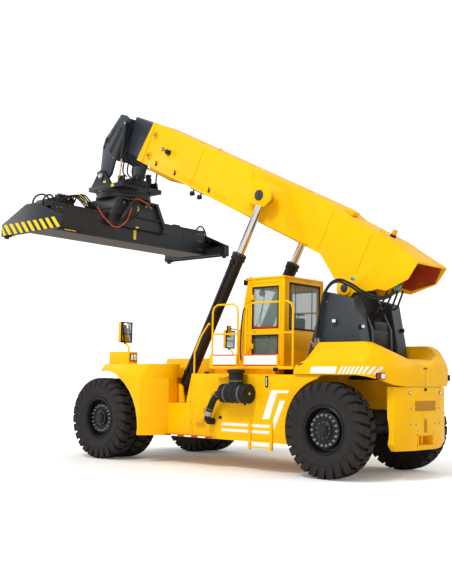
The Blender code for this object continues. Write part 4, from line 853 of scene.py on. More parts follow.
def build_air_cleaner_details() -> None:
    """Straps, end cap, hose clamps and dust cup of the air cleaner."""
    x = 1.7605
    bands = Piece("air_cleaner_straps", STEEL, "chassis")
    for y in (3.82, 4.22):
        bands.turned([(0.199, -0.018), (0.204, -0.018), (0.204, 0.018), (0.199, 0.018)], (x, fy(y), 1.62),
                     (0, 1, 0))
    for y, z, axis, radius in ((3.50, 1.585, (0, 0.75, 0.5), 0.077), (3.29, 1.28, (0, 0.45, 0.9), 0.077)):
        bands.turned([(radius, -0.012), (radius + 0.004, -0.012), (radius + 0.004, 0.012), (radius, 0.012)],
                     (x, fy(y), z), axis)
    bands.turned([(0.152, -0.014), (0.158, -0.014), (0.158, 0.014), (0.152, 0.014)], (x, fy(4.02), 1.88),
                 (0, 0, 1))
    bands.done()
    cap = Piece("air_cleaner_cap", PLASTIC, "chassis")
    end = fy(4.38)
    cap.turned([(0.0, 0.0), (0.205, 0.0), (0.205, 0.014), (0.19, 0.020), (0.16, 0.014), (0.10, 0.018),
                (0.0, 0.02)],
               (x, end - 0.001, 1.62), (0, 1, 0))
    for y in (3.76, 3.92, 4.08, 4.30):
        cap.turned([(0.198, -0.006), (0.207, -0.003), (0.207, 0.003), (0.198, 0.006)], (x, fy(y), 1.62),
                   (0, 1, 0))
    cap.bar((x, fy(4.02), 2.115), (x, fy(4.02), 2.13), 0.12, 0.06, 24)
    cap.bar((x, fy(4.28), 1.43), (x, fy(4.28), 1.38), 0.035, 0.022, 16)
    cap.done()
    dot = Piece("air_cleaner_dot", SIGNAL_YELLOW, "chassis")
    dot.bar((x, end + 0.015, 1.62), (x, end + 0.024, 1.62), 0.028, steps=24)
    dot.done()
    sleeve = Piece("intake_clamp_sleeve", ZINC, "chassis")
    sleeve.bar((x, fy(3.262), 1.225), (x - 0.003, fy(3.225), 1.13), 0.0775, steps=32)
    sleeve.done()


def build_fender_details() -> None:
    """Lamp lenses, mirror frames and mirror glass on the front fenders."""
    lens, frame, glass = (sided("fender_lamp_lenses", LENS), sided("mirror_frames", PLASTIC),
                          sided("mirror_glass", MIRROR))
    for x in (1.735, 1.865):
        lens.box((x - 0.05, fy(0.16) - 0.006, 2.30), (x + 0.05, fy(0.16) + 0.01, 2.46), 0.008)
        frame.box((x - 0.06, fy(0.16) - 0.003, 2.285), (x + 0.06, fy(0.16) + 0.01, 2.475), 0.006)
    frame.box((1.69, fy(0.835), 2.30), (1.91, fy(0.862), 2.48), 0.010)
    lens.box((1.71, fy(0.855), 2.32), (1.79, fy(0.868), 2.46), 0.006)
    lens.box((1.81, fy(0.855), 2.32), (1.89, fy(0.868), 2.46), 0.006)
    x, y = 1.86, fy(0.66)
    for low, high in (((-0.172, 2.738), (0.172, 2.765)), ((-0.172, 3.195), (0.172, 3.222)),
                      ((-0.172, 2.74), (-0.145, 3.22)), ((0.145, 2.74), (0.172, 3.22)),
                      ((-0.172, 2.93), (0.172, 2.95))):
        frame.box((x + low[0], y - 0.02, low[1]), (x + high[0], y + 0.010, high[1]), 0.004)
    frame.box((x - 0.172, fy(0.565), 2.738), (x + 0.172, fy(0.575), 3.222), 0.006)
    glass.box((x - 0.15, y - 0.002, 2.76), (x + 0.15, y + 0.003, 3.20), 0.001)
    frame.bar((x, fy(0.615), 2.70), (x, fy(0.615), 2.75), 0.026)
    for piece in (lens, frame, glass):
        piece.mirrored().done()


def build_deck_details() -> None:
    """Tread pattern on the deck and the fixings of its rails."""
    deck = Piece("deck_tread", YELLOW, "chassis")
    for s in (1, -1):
        for i in range(6):
            for j in range(22):
                x, y = s * (0.80 + i * 0.12), 3.06 + j * 0.10
                if not (i > 4 and j % 2):
                    turn = Matrix.Rotation(math.radians(45 if (i + j) % 2 else -45), 4, "Z")
                    deck.box((x - 0.022, fy(y) - 0.005, 2.199), (x + 0.022, fy(y) + 0.005, 2.2035), 0.0,
                             turn)
    deck.done()
    feet = Piece("rail_clamps", ZINC, "chassis")
    for s, y in ((1, 3.13), (1, 3.78), (1, 4.06), (1, 4.88), (-1, 3.13), (-1, 4.88)):
        feet.bolts([(s * 1.452, fy(y) - 0.035, 2.30), (s * 1.452, fy(y) + 0.035, 2.30)], (-s, 0, 0), 0.009,
                   0.007)
    feet.done()


# ---------------------------------------------------------------- cab
@dataclass
class Cab:
    """Window seals, fittings and what shows through the cab's glass."""

    rear: float = 4.48

    def build(self) -> None:
        """Build every cab detail."""
        self.seals()
        self.outside()
        self.inside()

    @staticmethod
    def rim(piece: Piece, axis: Axis, at: Flat, low: Flat, high: Flat, wide: float) -> None:
        """Add a flat frame round a window: its plane, corners and width."""
        (a0, b0), (a1, b1) = low, high
        order = {Axis.X: lambda d, a, b: (d, a, b), Axis.Y: lambda d, a, b: (a, d, b)}[axis]
        for (p, q), (r, s) in (((a0, b0), (a1, b0 + wide)), ((a0, b1 - wide), (a1, b1)),
                               ((a0, b0), (a0 + wide, b1)), ((a1 - wide, b0), (a1, b1))):
            one, two = order(at[0], p, q), order(at[1], r, s)
            piece.box(tuple(map(min, one, two)), tuple(map(max, one, two)), 0.003)

    def seals(self) -> None:
        """Add the black frames round the rear, right, door and front windows."""
        seal = Piece("window_seals", PLASTIC, "chassis")
        rear = fy(self.rear)
        self.rim(seal, Axis.Y, (rear - 0.012, rear + 0.003), (-0.635, 3.025), (0.535, 4.075), 0.042)
        self.rim(seal, Axis.X, (-0.708, -0.7225), (fy(3.565), 3.025), (fy(4.355), 3.995), 0.04)
        lean = 0.26 / 1.23
        for s in (1, -1):
            low, high = (s * 0.60, fy(3.185), 3.0), (s * 0.60, fy(3.185 + lean * 1.02), 4.02)
            seal.tube([low, high], 0.018, 2, False)
        for z in (3.015, 4.005):
            y = fy(3.187 + lean * (z - 2.92))
            seal.tube([(-0.6, y, z), (0.6, y, z)], 0.018, 2, False)
        seal.done()
        door = Piece("door_seals", PLASTIC, "cab_door")
        for low, high in ((2.445, 2.915), (3.045, 3.995)):
            self.rim(door, Axis.X, (0.700, 0.7238), (fy(3.568), low), (fy(4.332), high), 0.032)
        door.box((0.712, fy(3.60), 2.952), (0.735, fy(3.70), 2.985), 0.006)
        door.done()
        strip = Piece("door_red_strip", RED, "cab_door")
        strip.box((0.7225, fy(3.61), 3.062), (0.7242, fy(4.29), 3.092), 0.0)
        strip.done()

    def outside(self) -> None:
        """Add work lamps, roof fittings, handrails, wiper and the small mirror."""
        yellow = Piece("cab_frames", YELLOW, "chassis")
        for s in (1, -1):
            yellow.box((s * 0.715 - 0.018, fy(4.462), 2.25), (s * 0.715 + 0.018, fy(4.50), 4.14), 0.008)
        yellow.box((-0.70, fy(4.478), 2.60), (0.70, fy(4.484), 2.98), 0.002)
        for x, y in ((0.60, 3.40), (-0.60, 4.30)):
            ends = (fy(y), fy(y + 0.06))
            yellow.tube([(x, ends[0], 4.20), (x, ends[0], 4.235), (x, ends[1], 4.235), (x, ends[1], 4.20)],
                        0.008)
        yellow.done()
        dark = Piece("cab_fittings", PLASTIC, "chassis")
        for s in (1, -1):
            dark.box((s * 0.62 - 0.06, fy(3.27), 4.06), (s * 0.62 + 0.06, fy(3.36), 4.18), 0.012)
            dark.box((s * 0.62 - 0.02, fy(3.34), 4.15), (s * 0.62 + 0.02, fy(3.40), 4.19), 0.004)
            dark.tube([(s * 0.755, fy(3.30), 2.35), (s * 0.785, fy(3.30), 2.42),
                       (s * 0.785, fy(3.36), 3.45),
                       (s * 0.755, fy(3.37), 3.52)], 0.014)
        dark.tube([(0.3, fy(3.17), 2.96), (0.15, fy(3.20), 3.12), (0.02, fy(3.33), 3.75)], 0.009)
        dark.tube([(0.02, fy(3.22), 3.2), (0.02, fy(3.355), 3.88)], 0.011, 2, False)
        dark.tube([(0.72, fy(3.22), 3.02), (0.90, fy(3.14), 3.05), (0.96, fy(3.12), 3.05)], 0.010)
        dark.box((0.90, fy(3.09), 2.86), (1.04, fy(3.12), 3.12), 0.012)
        dark.done()
        lens = Piece("cab_lamp_lenses", LENS, "chassis")
        for s in (1, -1):
            lens.box((s * 0.62 - 0.05, fy(3.262), 4.07), (s * 0.62 + 0.05, fy(3.275), 4.17), 0.006)
        lens.done()
        glass = Piece("cab_mirror_glass", MIRROR, "chassis")
        glass.box((0.912, fy(3.1195), 2.875), (1.028, fy(3.123), 3.105), 0.0)
        glass.done()

    def inside(self) -> None:
        """Add the dash, display, blinds, inner posts and floor mat."""
        dark = Piece("cab_inside", PLASTIC, "chassis")
        dark.box((-0.64, fy(3.24), 2.78), (0.64, fy(3.40), 2.90), 0.02)
        dark.box((-0.60, fy(3.70), 2.2515), (0.60, fy(4.40), 2.262), 0.002)
        dark.box((0.30, fy(3.36), 2.95), (0.58, fy(3.40), 3.14), 0.012)
        dark.bar((0.44, fy(3.37), 2.88), (0.44, fy(3.385), 2.97), 0.016)
        dark.box((-0.66, fy(3.62), 2.26), (-0.42, fy(4.40), 2.72), 0.02)
        dark.box((-0.60, fy(4.30), 2.26), (-0.30, fy(4.42), 3.0), 0.02)
        for x in (-0.40, 0.22):
            dark.box((x, fy(4.415), 2.99), (x + 0.022, fy(4.43), 4.10), 0.003)
        dark.box((-0.20, fy(4.25), 3.38), (0.20, fy(4.36), 3.42), 0.01)
        dark.tube([(0.0, fy(4.33), 3.33), (0.0, fy(4.33), 3.40)], 0.012, 2, False)
        for a in (0.0, 2.1, 4.2):
            dark.bar((0, fy(3.53), 3.04), (0.185 * math.cos(a), fy(3.53) + 0.165 * math.sin(a),
                                           3.04 - 0.084 * math.sin(a)), 0.012)
        dark.done()
        fan = Piece("cab_fan", PLASTIC, "chassis")
        fan.turned([(0.0, -0.02), (0.075, -0.02), (0.082, 0.0), (0.075, 0.02), (0.0, 0.02)],
                   (0.28, fy(3.50), 3.90),
                   (0.2, 1, 0), 32)
        fan.bar((0.28, fy(3.50), 3.98), (0.28, fy(3.50), 4.14), 0.012)
        fan.done()
        lever = Piece("cab_levers", RED, "chassis")
        lever.bar((-0.50, fy(3.80), 2.72), (-0.50, fy(3.78), 2.86), 0.014, 0.02, 16, 0.003)
        lever.box((-0.655, fy(3.24), 2.902), (-0.60, fy(3.34), 2.97), 0.008)
        lever.done()


# ---------------------------------------------------------------- boom
@dataclass
class BoomDressing:
    """Hoses, clamps, bosses, lamps and the beacon along the boom."""

    low: float = 0.41
    top: float = 1.50

    def build(self) -> None:
        """Build every piece that rides on the outer boom or crosses its pivot."""
        self.bosses()
        self.lift_pins()
        self.strips()
        self.tail()
        self.hoses()
        self.lamps()

    def bosses(self) -> None:
        """Wear-pad bosses with copper-coloured bolts at the front, and pin caps."""
        pads, bolts = boom_piece("boom_pad_bosses", BOOM_YELLOW), boom_piece("boom_pad_bolts", COPPER)
        for s in (1, -1):
            for v in (0.66, 1.22):
                pads.bar((s * 0.448, -7.22, v), (s * 0.464, -7.22, v), 0.115, steps=40, bevel=0.004)
                bolts.bar((s * 0.462, -7.22, v), (s * 0.478, -7.22, v), 0.045, steps=24, bevel=0.004)
                bolts.bolts([(s * 0.464, -7.22 + 0.08 * math.cos(a), v + 0.08 * math.sin(a))
                             for a in (0.5, 1.55, 2.6, 3.64, 4.7, 5.74)], (s, 0, 0), 0.012, 0.012)
            pads.box((s * 0.457 - 0.010, -7.45, 0.42), (s * 0.457 + 0.010, -7.36, 1.49), 0.004)
            for u in (1.02, 3.55, 5.4):
                pads.box((s * 0.453 - 0.005, -u - 0.006, 0.43), (s * 0.453 + 0.005, -u + 0.006, 1.40), 0.0)
        for u in (0.9, 2.3, 4.2, 6.1):
            pads.box((-0.10, -u - 0.14, self.top - 0.002 if u > 1 else 1.42),
                     (0.10, -u + 0.14, self.top + 0.012), 0.004)
        pads.done()
        bolts.done()
        caps = boom_piece("boom_pin_caps", STEEL)
        for s in (1, -1):
            caps.bar((s * 0.50, 0, 0), (s * 0.512, 0, 0), 0.075, steps=8)
        caps.done()
        knob = boom_piece("boom_side_knobs", ZINC)
        knob.bar((0.45, -6.78, 0.98), (0.50, -6.78, 0.98), 0.055, 0.045, 24, 0.006)
        for s in (1, -1):
            knob.bolts([(s * 0.45, -u, 1.36) for u in (1.6, 2.6, 3.6, 4.6, 5.6, 6.6)], (s, 0, 0), 0.010,
                       0.008)
        knob.done()
        camera = boom_piece("boom_camera", PLASTIC)
        camera.box((0.45, -6.58, 0.90), (0.54, -6.46, 1.02), 0.01)
        camera.bar((0.50, -6.58, 0.96), (0.50, -6.63, 0.96), 0.030, 0.026, 20)
        camera.done()

    def lift_pins(self) -> None:
        """Cheek plates outside the lift cylinders' eyes, with the pins' caps."""
        cheek = boom_piece("lift_pin_cheeks", BOOM_YELLOW)
        cap = boom_piece("lift_pin_caps", SLATE)
        for s in (1, -1):
            x = sorted((s * 1.14, s * 1.165))
            cheek.plate([(-3.08, 0.96), (-3.06, 1.28), (-2.80, 1.37), (-2.34, 1.37), (-2.20, 1.10),
                         (-2.32, 0.88), (-2.72, 0.82)], Axis.X, *x, bevel=0.006)
            tie = sorted((s * 0.80, s * 1.15))
            cheek.box((tie[0], -3.06, 1.10), (tie[1], -3.02, 1.27), 0.004)
            cap.bar((s * 1.16, *LIFT_PIN), (s * 1.185, *LIFT_PIN), 0.125, steps=8, bevel=0.006)
            cap.bar((s * 1.18, *LIFT_PIN), (s * 1.20, *LIFT_PIN), 0.05, steps=24, bevel=0.004)
        cheek.done()
        cap.done()

    def strips(self) -> None:
        """Guide strips with clamps along the boom's lower side, and the sliding shoe."""
        strip = boom_piece("boom_guide_strips", BOOM_YELLOW)
        for s in (1, -1):
            x = sorted((s * 0.449, s * 0.458))
            strip.box((x[0], -6.85, 0.50), (x[1], -4.15, 0.585), 0.003)
        strip.done()
        clamps = boom_piece("boom_pipe_clamps", PLASTIC)
        for u in (6.82, 6.05, 4.72):
            clamps.box((0.449, -u - 0.022, 0.50), (0.482, -u + 0.022, 0.575), 0.004)
            clamps.bar((0.47, -u - 0.05, 0.62), (0.47, -u + 0.02, 0.56), 0.012)
        clamps.done()
        shoe = boom_piece("boom_slide_shoe", COPPER)
        shoe.box((-0.345, -7.155, self.low - 0.106), (0.345, -6.245, self.low - 0.085), 0.004)
        shoe.done()

    def tail(self) -> None:
        """Painted red-orange shade, seams and the cylinder's end in the open tail; lifting eyes and beacon
        on top.
        """
        inside = boom_piece("tail_cylinder_end", BLACK)
        inside.bar((0, 0.45, 0.80), (0, -0.4, 0.80), 0.12, steps=32, bevel=0.01)
        inside.bar((-0.38, 0.30, 0.80), (0.38, 0.30, 0.80), 0.055, steps=24)
        for x in (-0.26, 0.26):
            inside.tube([(x, 0.9, 1.10), (x, 0.5, 1.05), (x, 0.1, 1.0)], 0.022)
        inside.done()
        # Red-orange panels on the tail's inner walls are painted shade, standing for the yellow enamel in
        # shadow.
        tail_shade = boom_piece("tail_primer", TAIL_SHADE_RED)
        for s in (1, -1):
            rows = [[tail_shade.mesh.verts.new((s * x, y, z)) for z in (high, low)] for y, x, high, low in (
                (0.30, 0.4225, 1.25, 0.46), (0.68, 0.4225, 1.255, 0.40), (0.95, 0.4615, 1.22, 0.44),
                (1.34, 0.556, 1.155, 0.78))]
            for one, two in zip(rows, rows[1:]):
                tail_shade.mesh.faces.new((one[0], one[1], two[1], two[0]))
        tail_shade.done()
        dark = boom_piece("tail_seams", PLASTIC)
        for s in (1, -1):
            dark.box((s * 0.4625 - 0.0008, 0.10, 0.40), (s * 0.4625 + 0.0008, 0.105, 1.28), 0.0)
            dark.box((s * 0.4505 - 0.0008, -1.04, 0.45), (s * 0.4505 + 0.0008, -1.035, 1.42), 0.0)
        dark.done()
        eyes = boom_piece("boom_lifting_eyes", BOOM_YELLOW)
        for u in (-0.2, 5.0):
            z = 1.36 if u < 1 else self.top
            eyes.tube([(0.28, -u - 0.06, z - 0.01), (0.28, -u - 0.03, z + 0.07),
                       (0.28, -u + 0.03, z + 0.07),
                       (0.28, -u + 0.06, z - 0.01)], 0.014)
        eyes.done()
        beacon = boom_piece("beacon", BEACON)
        beacon.bar((0.0, 0.3, 1.40), (0.0, 0.3, 1.52), 0.06, 0.05, 28, 0.014)
        beacon.done()
        foot = boom_piece("beacon_foot", PLASTIC)
        foot.bar((0.0, 0.3, 1.33), (0.0, 0.3, 1.405), 0.068, 0.062, 28, 0.004)
        foot.done()

    def hoses(self) -> None:
        """Hoses from the hood up the tower and over the pivot into the tail."""
        hose = Piece("pivot_hoses", HOSE, "chassis")
        for i, x in enumerate((0.935, 0.985)):
            low = -0.05 * i
            hose.tube([(x, fy(5.50 + 0.10 * i), 2.72), (x, fy(5.54 + 0.10 * i), 2.95),
                       (x, fy(5.62 + 0.08 * i), 3.45),
                       (x - 0.01, fy(5.76 + 0.03 * i), 3.84 + low), (x - 0.06, fy(5.98), 4.00 + low),
                       (x - 0.14, fy(6.24), 3.92 + low), (x - 0.26, fy(6.46), 3.76 + low),
                       (x - 0.36, fy(6.72), 3.64 + low), (x - 0.44, fy(6.98), 3.66 + low),
                       (x - 0.52, fy(7.16), 3.80 + low)], 0.024, 3)
        for i in range(4):
            x = 0.33 - 0.20 * i
            hose.tube([(x * 0.6, fy(6.34), 3.22), (x * 0.8, fy(6.44), 3.36), (x, fy(6.52), 3.30 + 0.05 * i),
                       (x, fy(6.66), 3.44), (x, fy(6.80), 3.66), (x, fy(6.86), 3.82)], 0.021, 2)
        hose.done()
        ends = Piece("pivot_hose_ends", ZINC, "chassis")
        for i, x in enumerate((0.935, 0.985)):
            y = fy(5.50 + 0.10 * i)
            ends.bar((x, y, 2.68), (x, y + 0.006, 2.80), 0.030, steps=6)
            ends.bar((x, y, 2.62), (x, y, 2.69), 0.020, steps=12)
        ends.bolts([(0.9, fy(5.62), 3.20), (0.9, fy(5.74), 3.55)], (1, 0, 0), 0.014, 0.012)
        ends.done()
        valve = Piece("hood_valve", COPPER, "chassis")
        valve.box((0.90, fy(5.48), 2.60), (1.04, fy(5.68), 2.70), 0.008)
        valve.bar((0.96, fy(5.46), 2.66), (0.96, fy(5.40), 2.72), 0.022, 0.016, 16)
        valve.done()
        marks = Piece("hose_marks", CYAN, "chassis")
        marks.bar((0.445, fy(7.10), 3.745), (0.395, fy(7.20), 3.86), 0.031, steps=20)
        marks.bar((0.78, fy(6.25), 4.03), (0.74, fy(6.32), 3.99), 0.031, steps=20)
        marks.done()
        block = Piece("pivot_valve_block", BLACK, "chassis")
        block.box((-0.24, fy(6.18), 2.96), (0.24, fy(6.50), 3.16), 0.012)
        block.box((-0.32, fy(6.46), 2.60), (0.32, fy(6.50), 2.98), 0.01)
        for x in (-0.16, 0.0, 0.16):
            block.bar((x, fy(6.34), 3.16), (x, fy(6.34), 3.24), 0.035, steps=20, bevel=0.004)
        block.done()

    def lamps(self) -> None:
        """Work lamps below the boom and on the towers."""
        under = boom_piece("boom_work_lamps", PLASTIC)
        under.box((0.30, -5.42, 0.385), (0.40, -4.92, 0.412), 0.003)
        for u in (5.32, 5.04):
            under.bar((0.35, -u, 0.38), (0.35, -u, 0.30), 0.018)
            under.bar((0.35, -u - 0.05, 0.27), (0.35, -u + 0.04, 0.29), 0.065, 0.045, 24, 0.008)
        under.done()
        lens = boom_piece("boom_lamp_lenses", LENS)
        for u in (5.32, 5.04):
            lens.bar((0.35, -u - 0.056, 0.269), (0.35, -u - 0.048, 0.27), 0.056, steps=24)
        lens.done()
        body, glass = Piece("tower_lamps", PLASTIC, "chassis"), Piece("tower_lamp_lenses", LENS, "chassis")
        for x, y, z, turn in ((0.97, 5.97, 3.14, -60), (0.80, 6.54, 3.02, -20), (-0.80, 6.54, 3.02, 20)):
            aim = Matrix.Rotation(math.radians(turn), 4, "Z")
            out = aim @ Vector((0, 1, 0))
            base = Vector((x, fy(y), z))
            body.box(base - Vector((0.045, 0.035, 0.04)), base + Vector((0.045, 0.035, 0.04)), 0.010, aim)
            body.bar(base - out * 0.10, base, 0.014, steps=12)
            front = base + out * 0.037
            glass.box(front - Vector((0.037, 0.004, 0.032)), front + Vector((0.037, 0.005, 0.032)), 0.003,
                      aim)
        body.done()
        glass.done()


# ---------------------------------------------------------------- boom head and spreader
def build_head_details() -> None:
    """Side slots, pin caps, bolts, hose loops and ribs on the boom's head."""
    dark = boom_piece("head_slots", PLASTIC, "extension")
    for s in (1, -1):
        x = sorted((s * 0.5995, s * 0.6012))
        dark.plate([(-8.62, 0.30), (-8.48, 0.26), (-8.36, 1.02), (-8.46, 1.08)], Axis.X, *x, bevel=0.0)
        dark.plate([(-8.82, 0.50), (-8.74, 0.48), (-8.62, 0.98), (-8.67, 1.02)], Axis.X, *x, bevel=0.0)
    dark.done()
    caps = boom_piece("head_pin_caps", ZINC, "extension")
    for s in (1, -1):
        caps.bar((s * 0.695, -8.49, -0.385), (s * 0.722, -8.49, -0.385), 0.085, 0.075, 32, 0.006)
        caps.bolts([(s * 0.722, -8.49 + dy, -0.385 + dz) for dy,
                    dz in ((0.04, 0.04), (-0.04, 0.04), (0, -0.05))],
                   (s, 0, 0), 0.011, 0.010)
        caps.bolts([(s * 0.60, -u, v) for u, v in ((8.30, 1.22), (8.56, 1.24), (8.78, 0.78), (8.84, 0.42),
                                                   (8.36, 0.2))],
                   (s, 0, 0), 0.014, 0.012)
        caps.bar((s * 0.70, -8.24, 1.19), (s * 0.712, -8.24, 1.19), 0.036, steps=20)
    caps.done()
    hoses = boom_piece("head_hoses", HOSE, "extension")
    for x in (-0.36, 0.30):
        hoses.tube([(x, -7.62, 0.40), (x, -7.72, 0.26), (x, -7.95, 0.20), (x, -8.16, 0.30),
                    (x, -8.22, 0.44)], 0.020, 2)
    for x in (-0.18, 0.0, 0.16):
        hoses.tube([(x, -8.40, 0.20), (x, -8.36, 0.0), (x + 0.03, -8.24, -0.12), (x + 0.05, -8.05, -0.16)],
                   0.020, 2)
    hoses.done()
    rib = boom_piece("head_ribs", GREY, "extension")
    for s in (1, -1):
        rib.box((s * 0.61 - 0.012, -8.30, 1.02), (s * 0.61 + 0.012, -8.18, 1.30), 0.004)
        rib.box((s * 0.606 - 0.008, -8.90, 0.30), (s * 0.606 + 0.008, -8.84, 0.62), 0.003)
    rib.done()


def build_turntable_details() -> None:
    """Slew motors, ring bolts, valve block and hoses on the spreader's turntable."""
    centre = fy(TURNTABLE)
    motor = Piece("slew_motors", BLACK, "tilt_frame")
    for x, y in ((0.52, -0.40), (-0.52, 0.42)):
        motor.bar((x, centre + y, 7.06), (x, centre + y, 7.30), 0.10, 0.095, 28, 0.006)
        motor.bar((x, centre + y, 7.30), (x, centre + y, 7.46), 0.065, steps=24, bevel=0.006)
        motor.box((x - 0.06, centre + y - 0.06, 7.44), (x + 0.06, centre + y + 0.06, 7.50), 0.006)
    motor.box((-0.30, centre + 0.40, 7.06), (0.30, centre + 0.66, 7.24), 0.012)
    motor.done()
    bolts = Piece("ring_bolts", ZINC, "tilt_frame")
    bolts.bolts(ring((0, centre, 7.06), 0.60, 20, Axis.Z, 0.15), (0, 0, 1), 0.018, 0.016)
    bolts.bolts([(x, centre + 0.53, 7.24) for x in (-0.22, -0.08, 0.08, 0.22)], (0, 0, 1), 0.013, 0.012)
    bolts.done()
    flange = Piece("ring_flange", GREY, "tilt_frame")
    flange.turned([(0.70, 6.71), (0.74, 6.71), (0.75, 6.73), (0.75, 6.79), (0.73, 6.81), (0.70, 6.81)],
                  (0, centre, 0), (0, 0, 1), 72)
    flange.turned([(0.70, 6.88), (0.745, 6.88), (0.745, 6.935), (0.70, 6.935)], (0, centre, 0), (0, 0, 1),
                  72)
    flange.done()
    dots = Piece("ear_marks", SIGNAL_YELLOW, "tilt_frame")
    pin_y, pin_z = fy(-1.858), 7.33
    for s in (1, -1):
        dots.box((s * 0.6865 - 0.0007, pin_y + 0.10, 7.12), (s * 0.6865 + 0.0007, pin_y + 0.20, 7.18), 0.0)
        dots.box((s * 0.7205 - 0.0007, centre + 0.30, 6.965), (s * 0.7205 + 0.0007, centre + 0.42, 7.04),
                 0.0)
    dots.done()
    caps = Piece("tilt_lug_rings", BLACK, "tilt_frame")
    for s in (1, -1):
        caps.turned([(0.078, 0), (0.13, 0), (0.13, 0.010), (0.078, 0.010)], (s * 0.686, pin_y, pin_z),
                    (s, 0, 0), 40)
    caps.done()
    hoses = Piece("turntable_hoses", HOSE, "tilt_frame")
    for i in range(4):
        x = -0.24 + 0.16 * i
        hoses.tube([(x, centre + 0.62, 7.20), (x, centre + 0.80, 7.30), (x + 0.05, centre + 0.84, 7.10),
                    (x + 0.02, centre + 0.70, 6.98)], 0.017, 2)
    hoses.done()


